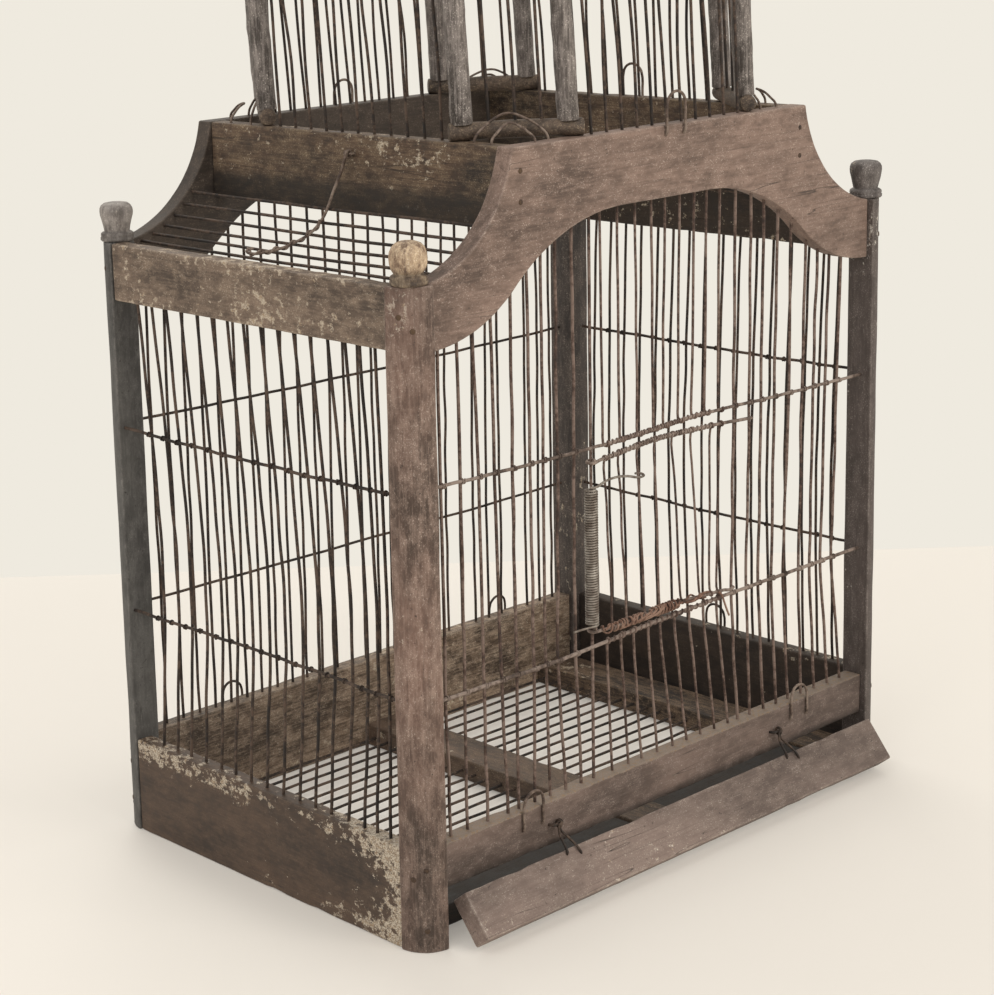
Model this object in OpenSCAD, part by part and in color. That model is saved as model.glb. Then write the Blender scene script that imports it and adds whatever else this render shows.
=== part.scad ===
// Old handmade bird cage of wood and iron wire.
// Origin: centre of the footprint, on the floor. X along the long side, Y to the back, Z up.
// The front is the side with the wire door and the tray flap, facing -Y.

/* [Body] */
// Length over the corner posts
cage_l = 450; // [430:5:490]
// Depth over the corner posts
cage_d = 294; // [280:2:320]
// Radius of the quarter round corner posts
post_r = 20.5; // [19.5:0.5:22]
// Height of the posts up to the collar of the knob
post_h = 397; // [391:1:401]
// Width of the turned ball on each post
knob_d = 22; // [19:0.5:24]

/* [Boards] */
// Thickness of the front and back boards
board_t = 13; // [11:0.5:14]
// Thickness of the end boards and cross boards
side_t = 12.5; // [11:0.5:14]
// Height of the base boards
base_h = 64; // [60:1:70]
// Height of the tray opening under the front rail
slot_h = 36; // [34:1:38]
// Height of the two end rails at the top
rail_h = 37; // [30:1:42]
// How far the front and back boards sit behind the post's outer face
inset = 4.5; // [4:0.5:5]

/* [Arched boards] */
// Height of the flat top above the posts
top_rise = 69; // [65:1:73]
// Half length of the flat top
top_half = 136; // [132:1:140]
// Width of the board over the crown of its arch
crown_h = 44; // [42:1:48]
// Width of the board's ends at the posts
foot_h = 39; // [37:1:45]
// Height of the cross boards
cross_h = 49; // [42:1:52]

/* [Wires] */
// Diameter of the upright wires
wire_d = 2; // [1.6:0.1:2.4]
// Diameter of the level tie wires
tie_d = 1.8; // [1.5:0.1:2]
// Spacing of the upright wires on the long sides, left of the door
pitch = 14.1; // [13:0.1:14.5]
// Height of the lower tie wire
tie_low = 152.5; // [149:0.5:155]
// Height of the upper tie wire
tie_high = 276; // [274:0.5:290]
// How deep a wire stands in its drilled hole
seat = 8; // [6:0.5:10]
// Clearance round a wire in its hole
fit = 0.03; // [0.02:0.01:0.08]

/* [Door] */
// Place of the hinge wire along the front
hinge_x = -65.5; // [-68:0.5:-65]
// Width of the wire door from hinge to free edge
door_w = 120; // [118:1:122]
// Height of the lower door bar
door_low = 161; // [160:0.5:163]
// Height of the upper door bar
door_high = 268; // [262:0.5:269]
// Play round the hinge wire in the door's eyes
hinge_gap = 0.3; // [0.25:0.05:0.4]

/* [Spring] */
// Wire of the door spring
coil_wire = 1.4; // [1.2:0.1:1.5]
// Mean radius of the door spring
coil_r = 3.6; // [3.4:0.1:4]
// Turns of the door spring
coil_turns = 41; // [30:1:42]
// Distance from one turn to the next
coil_pitch = 2.1; // [2:0.01:2.12]

/* [Tray flap] */
// Height of the flap board
flap_h = 30.7; // [28:0.1:31]
// How far the flap stands open as drawn, in degrees
flap_open = 38.8; // [0:0.1:80]
// Distance of the flap hinge in front of the rail
pin_out = 3.5; // [3.4:0.1:4]

/* [Tower] */
// Height of the tower between lower and upper frame
tower_h = 190; // [150:5:240]
// Diameter of the tower posts
tpost_d = 13; // [11:0.5:14]
// Diameter of the rough corner sticks
stick_d = 11.5; // [10.5:0.5:12.5]
// Sideways lean of the tower for each mm of height
lean = 0.05; // [0:0.01:0.06]

/* [Hidden] */
$fn = 48;
xe = cage_l / 2 - post_r;
ye = cage_d / 2 - post_r;
yo = cage_d / 2 - inset;
yi = yo - board_t;
xo = cage_l / 2 - 1;
xi = xo - side_t;
wy = (yo + yi) / 2;
wx = (xo + xi) / 2;
ci = top_half - side_t;
cxm = top_half - side_t / 2;
tie_off = (wire_d + tie_d) / 2 + 0.05;
ty = wy + tie_off;
tx = wx + tie_off;
top_z = post_h + top_rise;
crown_z = top_z - crown_h;
foot_z = post_h - foot_h;
collar_h = 5.8;
collar_r = knob_d / 2 + 0.2;

// shoulder arc of the arched boards
sh_dx = xe - top_half;
sh_dz = top_z - post_h;
sh_c = norm([sh_dx, sh_dz]);
sh_dip = 0.157 * sh_c;
sh_r = (sh_c * sh_c / 4 + sh_dip * sh_dip) / (2 * sh_dip);
sh_x = (top_half + xe) / 2 + (sh_r - sh_dip) * sh_dz / sh_c;
sh_z = (top_z + post_h) / 2 + (sh_r - sh_dip) * sh_dx / sh_c;

// underside: flat crown, falling arc, rising arc
flat = 40;
ar_dx = xe - flat;
ar_dz = crown_z - foot_z;
ar_sum = (ar_dx * ar_dx + ar_dz * ar_dz) / (2 * ar_dz);
ar_a = 0.5775 * ar_sum;
ar_b = ar_sum - ar_a;
ar_x = flat + 0.5775 * ar_dx;
ar_z = crown_z - 0.5775 * ar_dz;

door_eye = (wire_d + tie_d) / 2 + hinge_gap;
door_y = wy + door_eye;
dw_d = 1.6;
dw_eye = (tie_d + dw_d) / 2 + 0.05;
dw_y = door_y - dw_eye;
dw_n = 8;
dw_0 = hinge_x + 11;
dw_step = (door_w - 11) / (dw_n - 1);

n_left = floor((hinge_x + xe - 11) / pitch);
jamb_x = hinge_x + door_w + 15.5;
r_step = (xe - 13.3 - jamb_x) / 8;

pin_y = -(yo + pin_out);
pin_z = slot_h + 13.5;
flap_t = board_t + 1.2;
flap_top = slot_h - 1.8;
flap_a = xe - 7.5;
flap_b = xe - 4;
link_in = flap_top - 6;
link_eye = 2.3;

bar_low = 1;
bar_h = 16;
bar_w = 33;
fl_z = bar_low + 7;

hoop_w = 17;
hoop_d = 1.8;
hoop_y = yo + hoop_d / 2 + 0.1;
hoop_z = base_h - 12;
hoop_spike = hoop_y - yo + 9;
front_hoop_x = [-(xe - 76.5), xe - 71];
back_hoop_x = [-(xe - 77.5), xe - 67.5];
top_hoop_x = 5.8;

stick_z = top_z + stick_d / 2 - 0.4;
seat_z = top_z + stick_d - 2.2;
up_z = top_z + tower_h;
up_h = 14;
up_seat = up_z - stick_d + 2.2;
lx = -lean;
ly = 0.4 * lean;
hook_r = 0.9;
lean_k = (tower_h + seat - 2) / (tower_h + 2 * seat - 2);
hole_d = wire_d + 1.1 * lean * seat + 2 * fit;
lean_a = acos(1 / norm([lx, ly, 1]));
lean_z = atan2(ly, lx);
strap_k = 0.4;

function above(p, z) = [p[0] + lx * (z - top_z), p[1] + ly * (z - top_z), z];
function arc_up(a) = crown_z - ar_a + sqrt(ar_a * ar_a - (a - flat) * (a - flat));
function arc_low(a) = foot_z + ar_b - sqrt(ar_b * ar_b - (xe - a) * (xe - a));
function under_a(a) = a < flat ? crown_z : a < ar_x ? arc_up(a) : arc_low(a);
function under(x) = under_a(abs(x));

// upright wires of the front: full ones, cut ones at the door
front_left_x = [for (k = [1 : n_left]) hinge_x + 1.4 - pitch * k];
front_right_x = [for (k = [0 : 8]) jamb_x + r_step * k];
front_full = concat(front_left_x, front_right_x);
cut_step = (jamb_x - hinge_x) / 10;
front_cut = [for (k = [1 : 9]) hinge_x + cut_step * k];
back_x = [for (k = [0 : 27]) -(xe - 13.5) + (2 * xe - 27) / 27 * k];
side_y = [for (k = [0 : 15]) -(ye - 14) + (2 * ye - 28) / 15 * k];
floor_y = [for (k = [0 : 19]) -(yi - 9.5) + (2 * yi - 19) / 19 * k];
roof_a = [for (k = [0 : 5]) 41.5 + 6.7 * k];
bar_x = [1.3, xi - 29];

// tower plan: one corner stick with its two posts, along the front left and the front right
near_a = [-(cxm - 2.75), -(wy - 42)];
near_b = [-(cxm - 53.75), -(wy - 5)];
right_a = [cxm - 41.75, -(wy - 5)];
right_b = [cxm - 1.75, -(wy - 55)];
corners = [[near_a, near_b], [right_a, right_b], [-near_a, -near_b], [-right_a, -right_b]];
post_feet = [for (c = corners, p = c) p];
side_n = 11;
front_tw = [for (k = [1 : side_n]) near_b + (right_a - near_b) * k / (side_n + 1)];
left_tw = [for (k = [1 : side_n]) near_a + (-right_b - near_a) * k / (side_n + 1)];
corner_tw = [for (c = corners, k = [1 : 3]) c[0] + (c[1] - c[0]) * k / 4];

// nails: place and inward direction
nail_x = [for (s = [-1, 1], q = [[-1, base_h - 18], [1, 20], [1, base_h - 18], [-1, 380], [1, 380]])
  [s, q[0], q[1]]];
nail_y = [for (s = [-1, 1], t = [-1, 1], z = [14, base_h - 12, post_h - 25]) [s, t, z]];
nail_c = [for (s = [-1, 1], t = [-1, 1], z = [top_z - 32, top_z - 14]) [s, t, z]];

// round bar from a to b, grown by g all round
module rod(a, b, d, g = 0) {
  v = b - a;
  h = norm(v);
  translate(a)
    rotate([0, acos(v[2] / h), atan2(v[1], v[0])])
      translate([0, 0, -g])
        cylinder(d = d + 2 * g, h = h + 2 * g);
}

// bent wire through a list of points
module bent(p, d, g = 0, k = 0.06) {
  for (i = [0 : len(p) - 2]) rod(p[i], p[i + 1], d, g);
  for (i = [1 : len(p) - 2]) translate(p[i]) sphere(d = d + k + 2 * g);
}

// closed ring of wire in the XY plane
module ring(r, d) {
  rotate_extrude() translate([r, 0]) circle(d = d);
}

// hoop standing in the XZ plane, with two spikes that point to +Y
module hoop(leg, spike, g = 0) {
  translate([0, 0, leg])
    rotate([90, 0, 0])
      rotate_extrude(angle = 180)
        translate([hoop_w / 2, 0]) circle(d = hoop_d + 2 * g);
  for (s = [-1, 1]) {
    rod([s * hoop_w / 2, 0, 0], [s * hoop_w / 2, 0, leg], hoop_d, g);
    translate([s * hoop_w / 2, 0, 0]) sphere(d = hoop_d + 0.06 + 2 * g);
    rod([s * hoop_w / 2, 0, 0], [s * hoop_w / 2, spike, 0], hoop_d, g);
  }
}

module nails_blank(g = 0) {
  for (n = nail_x) {
    rod([n[0] * (xe + 17.6), n[1] * wy, n[2]], [n[0] * (xe - 16), n[1] * wy, n[2]], 2.2, g);
    rod([n[0] * (xe + 18.3), n[1] * wy, n[2]], [n[0] * (xe + 16.9), n[1] * wy, n[2]], 3.6, g);
  }
  for (n = nail_y) {
    rod([n[0] * wx, n[1] * (ye + 15), n[2]], [n[0] * wx, n[1] * (ye - 16), n[2]], 2.2, g);
    rod([n[0] * wx, n[1] * (ye + 15.6), n[2]], [n[0] * wx, n[1] * (ye + 14.2), n[2]], 3.6, g);
  }
  for (n = nail_c) {
    rod([n[0] * cxm, n[1] * (yo - 0.5), n[2]], [n[0] * cxm, n[1] * (yi - 16), n[2]], 2.2, g);
    rod([n[0] * cxm, n[1] * yo, n[2]], [n[0] * cxm, n[1] * (yo - 1.2), n[2]], 3.6, g);
  }
}

module nails() {
  color("#4a4038") nails_blank();
}

// corner post
module post(sx, sy) {
  color("#6a5c50")
    difference() {
      translate([sx * xe, sy * ye, 0])
        mirror([sx < 0 ? 1 : 0, 0, 0])
          mirror([0, sy < 0 ? 1 : 0, 0])
            intersection() {
              cylinder(r = post_r, h = post_h);
              cube([post_r + 1, post_r + 1, post_h]);
            }
      nails_blank(fit);
      tie_blank(fit);
      knob_at(sx, sy) translate([0, 0, -8.05]) cylinder(d = 8 + 2 * fit, h = 9);
    }
}

module front_left_post() { post(-1, -1); }
module front_right_post() { post(1, -1); }
module back_left_post() { post(-1, 1); }
module back_right_post() { post(1, 1); }

// turned knob on its dowel
module knob_at(sx, sy) {
  translate([sx * (xe + 8), sy * (ye + 8), post_h]) children();
}

module knob(sx, sy, c) {
  ball = knob_d / 2;
  color(c)
    knob_at(sx, sy)
      rotate_extrude() {
        translate([0, -8]) square([4, 9]);
        square([collar_r - 1.4, collar_h]);
        translate([collar_r - 1.5, 1.5]) circle(r = 1.5);
        translate([collar_r - 1.9, collar_h - 1.4]) circle(r = 1.4);
        polygon([[0, collar_h - 1], [0.77 * ball, collar_h - 1], [ball - 0.3, 17.3], [0, 17.3]]);
        translate([ball / 2, 19.1]) circle(r = ball / 2);
        translate([0, 17]) square([ball / 2, 2.1 + ball / 2]);
      }
}

module collar_blank(sy) {
  for (sx = [-1, 1])
    knob_at(sx, sy) translate([0, 0, -0.02]) cylinder(r = collar_r + fit, h = collar_h + 1);
}

module front_left_knob() { knob(-1, -1, "#b08a4c"); }
module front_right_knob() { knob(1, -1, "#77736b"); }
module back_left_knob() { knob(-1, 1, "#77706a"); }
module back_right_knob() { knob(1, 1, "#77706a"); }

// base boards and the front rail
module front_rail() {
  color("#6e6158")
    difference() {
      translate([-xe, -yo, slot_h]) cube([2 * xe, board_t, base_h - slot_h]);
      front_blank(fit);
      hinge_blank(fit);
      front_hoops_blank(fit);
      staples_blank(fit);
      nails_blank(fit);
    }
}

module back_board() {
  color("#5c4c40")
    difference() {
      translate([-xe, yi, 0]) cube([2 * xe, board_t, base_h]);
      back_blank(fit);
      back_hoops_blank(fit);
      nails_blank(fit);
    }
}

module end_board(s) {
  color("#5a4a3e")
    difference() {
      translate([s > 0 ? xi : -xo, -ye, 0]) cube([side_t, 2 * ye, base_h]);
      side_blank(s, fit);
      floor_blank(fit);
      right_hoop_blank(fit);
      nails_blank(fit);
    }
}

module left_board() { end_board(-1); }
module right_board() { end_board(1); }

module end_rail(s) {
  color("#6a5a4c")
    difference() {
      translate([s > 0 ? xi : -xo, -ye, post_h - rail_h]) cube([side_t, 2 * ye, rail_h]);
      side_blank(s, fit);
      nails_blank(fit);
    }
}

module left_top_rail() { end_rail(-1); }
module right_top_rail() { end_rail(1); }

// arched boards between the posts
module arch_2d() {
  difference() {
    translate([-xe, foot_z]) square([2 * xe, top_z - foot_z]);
    for (m = [0, 1]) mirror([m, 0]) {
      translate([sh_x, sh_z]) circle(r = sh_r, $fn = 96);
      polygon([[top_half, top_z], [xe, post_h], [xe + 1, post_h], [xe + 1, top_z + 1],
        [top_half, top_z + 1]]);
      translate([-1, foot_z - 1]) square([flat + 1, ar_dz + 1]);
      intersection() {
        translate([flat, crown_z - ar_a]) circle(r = ar_a, $fn = 96);
        translate([flat - 0.01, foot_z - 1]) square([ar_x - flat + 0.01, ar_dz + 1.5]);
      }
      difference() {
        translate([ar_x - 0.01, foot_z - 1]) square([xe - ar_x + 1, ar_z - foot_z + 1]);
        translate([xe, foot_z + ar_b]) circle(r = ar_b, $fn = 96);
      }
    }
  }
}

module arch_board(s) {
  translate([0, s > 0 ? yo : -yi, 0])
    rotate([90, 0, 0])
      linear_extrude(board_t) arch_2d();
}

module front_arch() {
  color("#6c5c50")
    difference() {
      arch_board(-1);
      front_blank(fit);
      hinge_blank(fit);
      roof_blank(fit);
      low_holes(long_feet(-1));
      straps_blank(fit);
      front_top_hoop(fit);
      collar_blank(-1);
      nails_blank(fit);
    }
}

module back_arch() {
  color("#5e5046")
    difference() {
      arch_board(1);
      back_blank(fit);
      roof_blank(fit);
      low_holes(long_feet(1));
      straps_blank(fit);
      back_top_hoop(fit);
      collar_blank(1);
      nails_blank(fit);
    }
}

module cross_board(s) {
  color("#6a5848")
    difference() {
      translate([s > 0 ? ci : -top_half, -yi, top_z - cross_h]) cube([side_t, 2 * yi, cross_h]);
      low_holes(end_feet(s));
      straps_blank(fit);
      right_top_hoop(fit);
      staple_legs(fit);
      nails_blank(fit);
    }
}

module left_cross_board() { cross_board(-1); }
module right_cross_board() { cross_board(1); }

// upright wires
module front_blank(g = 0) {
  for (x = front_full)
    rod([x, -wy, base_h - seat], [x, -wy, under(x) + seat - 2], wire_d, g);
  for (x = front_cut) {
    rod([x, -wy, base_h - seat], [x, -wy, tie_low - 0.5], wire_d, g);
    rod([x, -wy, tie_high + 0.5], [x, -wy, under(x) + seat - 2], wire_d, g);
  }
}

module front_wires() {
  color("#5b4a3e") {
    front_blank();
    for (x = front_cut, z = [tie_low, tie_high])
      translate([x, -ty, z]) rotate([0, 90, 0]) ring(tie_off, wire_d);
  }
}

module back_blank(g = 0) {
  for (x = back_x) rod([x, wy, base_h - seat], [x, wy, under(x) + seat - 2], wire_d, g);
}

module back_wires() { color("#4e4138") back_blank(); }

module side_blank(s, g = 0) {
  for (y = side_y)
    rod([s * wx, y, base_h - seat], [s * wx, y, post_h - rail_h + seat - 2], wire_d, g);
}

module left_wires() { color("#4e4138") side_blank(-1); }
module right_wires() { color("#4e4138") side_blank(1); }

// level tie wires, let into the posts
module front_tie(s, g = 0) {
  for (z = [tie_low, tie_high]) rod([-xe - 6, s * ty, z], [xe + 6, s * ty, z], tie_d, g);
}

module side_tie(s, g = 0) {
  for (z = [tie_low, tie_high]) rod([s * tx, -ye - 6, z], [s * tx, ye + 6, z], tie_d, g);
}

module tie_blank(g = 0) {
  front_tie(-1, g);
  front_tie(1, g);
  side_tie(-1, g);
  side_tie(1, g);
}

module front_tie_wires() { color("#5b4a3e") front_tie(-1); }
module back_tie_wires() { color("#4e4138") front_tie(1); }
module left_tie_wires() { color("#4e4138") side_tie(-1); }
module right_tie_wires() { color("#4e4138") side_tie(1); }

// grille low in the base: wires threaded through two cross bars, the tray slides in over it
module floor_blank(g = 0) {
  for (y = floor_y) rod([-xi - seat, y, fl_z], [xi + seat, y, fl_z], wire_d, g);
}

module floor_wires() { color("#4a3e34") floor_blank(); }

module floor_bar(x) {
  color("#705c48")
    difference() {
      translate([x - bar_w / 2, -yi + 3, bar_low]) cube([bar_w, 2 * yi - 3, bar_h]);
      floor_blank(fit);
    }
}

module left_floor_bar() { floor_bar(bar_x[0]); }
module right_floor_bar() { floor_bar(bar_x[1]); }

// wires of the sloping roof ends
module roof_one(s, g = 0) {
  for (a = roof_a)
    let (x = s * (sh_x - (sh_r + 3.5) * cos(a)), z = sh_z - (sh_r + 3.5) * sin(a))
      rod([x, -yi - seat + 2, z], [x, yi + seat - 2, z], wire_d, g);
}

module roof_blank(g = 0) {
  roof_one(-1, g);
  roof_one(1, g);
}

module roof_wires() { color("#4e4138") roof_blank(); }

// wire door
module hinge_blank(g = 0) {
  rod([hinge_x, -wy, base_h - seat], [hinge_x, -wy, under(hinge_x) + seat - 2], wire_d, g);
}

module door_hinge_wire() { color("#5b4a3e") hinge_blank(); }

module door_bars() {
  color("#6b5a4b")
    for (q = [[door_high, door_w + 40.5], [door_low, door_w + 20]]) {
      translate([hinge_x, -wy, q[0]]) ring(door_eye, tie_d + 0.1);
      rod([hinge_x + 0.5, -door_y, q[0]], [hinge_x + q[1] - 3.2, -door_y, q[0]], tie_d);
      translate([hinge_x + q[1] - 1, -door_y, q[0]]) rotate([90, 0, 0]) ring(2.4, tie_d - 0.2);
    }
}

module door_wires() {
  color("#5f4d40")
    for (k = [0 : dw_n - 1])
      let (x = dw_0 + dw_step * k) {
        rod([x, -dw_y, door_low + 0.5], [x, -dw_y, door_high - 0.5], dw_d);
        for (z = [door_low, door_high])
          translate([x, -door_y, z]) rotate([0, 90, 0]) ring(dw_eye, dw_d);
      }
}

module door_binding_wire() {
  br = dw_eye + dw_d / 2 + 0.7;
  by = door_y + br;
  color("#7c4a2e") {
    rod([dw_0 + 5, -by, door_low], [dw_0 + 5.5 * dw_step, -by, door_low], 1.1);
    for (k = [0.3, 1.5, 2.6, 3.4, 4.6, 5.4])
      translate([dw_0 + k * dw_step, -door_y, door_low])
        rotate([0, 90, 0]) ring(br, 1.3);
  }
}

// door spring, a torsion coil round the hinge wire
coil_z0 = door_low + 3;
leg = [[-19, -1.7, 0], [-12, -1.95, 0], [-6, -3, 0], [-2.5, -3.6, 0]];
leg_pts = [for (p = leg) [hinge_x + p[0], -wy + p[1] - (coil_r - 3.6) * 0.5, coil_z0]];
turn_pts = [for (i = [0 : coil_turns * 8])
  [hinge_x + coil_r * cos(-90 + 45 * i), -wy + coil_r * sin(-90 + 45 * i),
    coil_z0 + coil_pitch * i / 8]];
coil_pts = concat(leg_pts, turn_pts);
coil_n = len(coil_pts);
coil_gap = min([for (i = [0 : len(turn_pts) - 1], j = [i + 5 : i + 11])
  if (j < len(turn_pts)) norm(turn_pts[i] - turn_pts[j])]) - coil_wire;
echo(coil_gap = coil_gap);
function dir(i) = coil_pts[min(i + 1, coil_n - 1)] - coil_pts[max(i - 1, 0)];
function unit(v) = v / norm(v);
function ring_at(i) =
  let (t = unit(dir(i)), n = unit(cross([0, 0, 1], t)), b = cross(t, n))
  [for (k = [0 : 5]) coil_pts[i] + coil_wire / 2 * (cos(60 * k) * n + sin(60 * k) * b)];

module door_spring() {
  pts = [for (i = [0 : coil_n - 1], p = ring_at(i)) p];
  sides = [for (i = [0 : coil_n - 2], k = [0 : 5], h = [0, 1])
    h == 0 ? [i * 6 + k, (i + 1) * 6 + k, i * 6 + (k + 1) % 6]
      : [(i + 1) * 6 + k, (i + 1) * 6 + (k + 1) % 6, i * 6 + (k + 1) % 6]];
  ends = [[for (k = [0 : 5]) k], [for (k = [5 : -1 : 0]) (coil_n - 1) * 6 + k]];
  color("#8a8780") polyhedron(pts, concat(sides, ends));
}

module door_spring_arm() {
  az = coil_z0 + coil_turns * coil_pitch + coil_wire + 0.3;
  hx = dw_0 + 2 * dw_step;
  color("#8a8780") {
    rod([hinge_x, -wy - coil_r, az], [hx, -dw_y - dw_d / 2 - coil_wire / 2 - 0.05, az], coil_wire);
    translate([hx, -dw_y, az]) ring((dw_d + coil_wire) / 2 + 0.05, coil_wire);
  }
}

// tray flap, drawn as it hangs in the photograph's pose
module swung() {
  translate([0, pin_y, pin_z])
    rotate([-flap_open, 0, 0])
      translate([0, -pin_y, -pin_z]) children();
}

link_x = [-109, 107.5];

module links_blank(g = 0) {
  ly0 = pin_y + link_eye;
  for (x = link_x) {
    bent([[x + 0.3, ly0, pin_z - 0.5], [x + 8.8, ly0, link_in], [x + 8.8, ly0 + 9, link_in]], 1.6, g);
    translate([x, pin_y, pin_z]) rotate([0, 90, 0]) ring(link_eye, 1.6);
  }
}

module tray_flap() {
  color("#75675c")
    swung()
      difference() {
        translate([-flap_a, -yo, flap_top - flap_h]) cube([flap_a + flap_b, flap_t, flap_h]);
        links_blank(fit);
      }
}

module flap_links() {
  color("#4e453d") swung() links_blank();
}

module staples_blank(g = 0) {
  for (x = link_x)
    bent([[x - 4.5, -yi - 4, pin_z], [x - 4.5, pin_y, pin_z], [x + 4.5, pin_y, pin_z],
      [x + 4.5, -yi - 4, pin_z]], 1.8, g);
}

module flap_staples() { color("#4e453d") staples_blank(); }

// wire hoops that carry the food cups
module front_hoops_blank(g = 0) {
  for (x = front_hoop_x) translate([x, -hoop_y, hoop_z]) hoop(14.5, hoop_spike, g);
}

module front_hoops() { color("#5a4e44") front_hoops_blank(); }

module back_hoops_blank(g = 0) {
  for (x = back_hoop_x) translate([x, hoop_y, hoop_z]) rotate([0, 0, 180]) hoop(14.5, hoop_spike, g);
}

module back_hoops() { color("#5a4e44") back_hoops_blank(); }

module right_hoop_blank(g = 0) {
  translate([xo + hoop_d / 2 + 0.1, 2, hoop_z + 1]) rotate([0, 0, 90]) hoop(16, 9, g);
}

module right_hoop() { color("#5a4e44") right_hoop_blank(); }

module front_top_hoop(g = 0) {
  translate([top_hoop_x, -hoop_y, top_z - 6]) hoop(17, hoop_spike, g);
}

module back_top_hoop(g = 0) {
  translate([-top_hoop_x, hoop_y, top_z - 6]) rotate([0, 0, 180]) hoop(13, hoop_spike, g);
}

module right_top_hoop(g = 0) {
  translate([top_half + hoop_d / 2 + 0.1, 4, top_z - 6]) rotate([0, 0, 90]) hoop(18, 9, g);
}

module top_hoops() {
  color("#5a4e44") {
    front_top_hoop();
    back_top_hoop();
    right_top_hoop();
  }
}

// tower: rough corner sticks above the top frame
module stick(c, z, g = 0) {
  a = c[0];
  b = c[1];
  u = (b - a) / norm(b - a);
  rod([a[0] - 8.5 * u[0], a[1] - 8.5 * u[1], z], [b[0] + 8.5 * u[0], b[1] + 8.5 * u[1], z], stick_d, g);
}

// along the tower's leaning axis from the foot p, at height z
module leaning(p, z) {
  translate(above(p, z)) rotate([0, 0, lean_z]) rotate([0, lean_a, 0]) rotate([0, 0, -lean_z]) children();
}

module lower_stick(c) {
  color("#72604e")
    difference() {
      stick(c, stick_z);
      translate([-cage_l, -cage_d, top_z - 20]) cube([2 * cage_l, 2 * cage_d, 20]);
      for (p = c) leaning(p, seat_z) translate([-7.6, -7.6, 0]) cube([15.2, 15.2, 10]);
      corner_wires_blank(fit);
    }
}

module upper_stick(c) {
  d = [above(c[0], up_z - stick_d / 2), above(c[1], up_z - stick_d / 2)];
  color("#72604e")
    difference() {
      stick([for (p = d) [p[0], p[1]]], up_z - stick_d / 2 + 0.4);
      translate([-cage_l, -cage_d, up_z]) cube([2 * cage_l, 2 * cage_d, 20]);
      for (p = c) leaning(p, up_seat) translate([-7.6, -7.6, -10]) cube([15.2, 15.2, 10]);
      corner_wires_blank(fit);
    }
}

module front_left_stick() { lower_stick(corners[0]); }
module front_right_stick() { lower_stick(corners[1]); }
module back_right_stick() { lower_stick(corners[2]); }
module back_left_stick() { lower_stick(corners[3]); }

module upper_sticks() {
  for (c = corners) upper_stick(c);
}

module tower_posts() {
  color("#7a6656")
    for (p = post_feet) rod(above(p, seat_z), above(p, up_seat), tpost_d);
}

function long_feet(s) = [for (p = front_tw) [-s * p[0], s * wy]];
function end_feet(s) = [for (p = left_tw) [s * cxm, -s * p[1]]];

module lean_wires(feet) {
  for (p = feet) rod([p[0], p[1], top_z - seat], above(p, up_z + seat - 2), wire_d);
}

// upright holes with room for the lean of the wires in them
module low_holes(feet) {
  for (p = feet)
    translate([p[0] + lean_k * lx * seat / 2, p[1] + lean_k * ly * seat / 2, top_z - seat - 0.1])
      cylinder(d = hole_d, h = seat + 1);
}

module high_holes(feet) {
  for (p = feet)
    translate(above(p, up_z + seat - 2) - [lean_k * lx, lean_k * ly, 1] * (seat / 2 - 1))
      translate([0, 0, -seat / 2])
        cylinder(d = hole_d, h = seat - 0.9);
}

module corner_wires_blank(g = 0) {
  for (p = corner_tw)
    rod([p[0], p[1], stick_z + 0.5], above(p, up_z - stick_d / 2), wire_d, g);
}

module tower_wires() {
  color("#4e4138") {
    for (s = [-1, 1]) {
      lean_wires(long_feet(s));
      lean_wires(end_feet(s));
    }
    corner_wires_blank();
  }
}

// bent wires that hold the corner sticks down
module strap(o, u, n, t0, t1, f, ap, az, g = 0) {
  tm = (t0 + t1) / 2;
  p0 = o + u * t0 + n * f;
  p1 = o + u * t1 + n * f;
  pm = o + u * tm + n * ap;
  bent([[p0[0], p0[1], top_z - seat], [p0[0], p0[1], top_z + 1], [pm[0], pm[1], top_z + az],
    [p1[0], p1[1], top_z + 1], [p1[0], p1[1], top_z - seat]], 1.6, g, strap_k);
}

module straps_blank(g = 0) {
  for (s = [1, -1]) {
    nu = (near_b - near_a) / norm(near_b - near_a) * s;
    nn = [nu[1], -nu[0]];
    strap(near_a * s, nu, nn, 5, 48, 10.8, 3, 15.6, g);
    strap(near_a * s, nu, nn, 13, 38, 23, 14, 11, g);
    ru = (right_b - right_a) / norm(right_b - right_a) * s;
    rn = [ru[1], -ru[0]];
    strap(right_a * s, ru, rn, 5, 59, 10.8, 3, 15.6, g);
    strap(right_a * s, ru, rn, 14, 42, 23, 14, 11, g);
  }
}

module corner_straps() { color("#6e5646") straps_blank(); }

// upper frame of the tower
module upper_long(s) {
  d = above([0, 0], up_z);
  color("#66584c")
    difference() {
      translate([d[0] - top_half, d[1] + (s > 0 ? yi : -yo), up_z]) cube([2 * top_half, board_t, up_h]);
      high_holes(long_feet(s));
      tower_roof_blank(fit);
    }
}

module upper_short(s) {
  d = above([0, 0], up_z);
  color("#66584c")
    difference() {
      translate([d[0] + (s > 0 ? ci : -top_half), d[1] - yi, up_z]) cube([side_t, 2 * yi, up_h]);
      high_holes(end_feet(s));
    }
}

module tower_front_rail() { upper_long(-1); }
module tower_back_rail() { upper_long(1); }
module tower_left_rail() { upper_short(-1); }
module tower_right_rail() { upper_short(1); }

module tower_roof_blank(g = 0) {
  d = above([0, 0], up_z);
  for (k = [0 : 16])
    let (x = d[0] - ci + 7.5 + (2 * ci - 15) / 16 * k)
      rod([x, d[1] - yi - seat + 2, up_z + up_h - 3], [x, d[1] + yi + seat - 2, up_z + up_h - 3], wire_d, g);
}

module tower_roof_wires() { color("#4e4138") tower_roof_blank(); }

// wire hook hinged on the left cross board, resting on the roof wires
hk_y = -6;
hk_z = top_z - 12;
hk_out = 3.1;
hk_x = -(top_half + hk_out);

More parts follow.
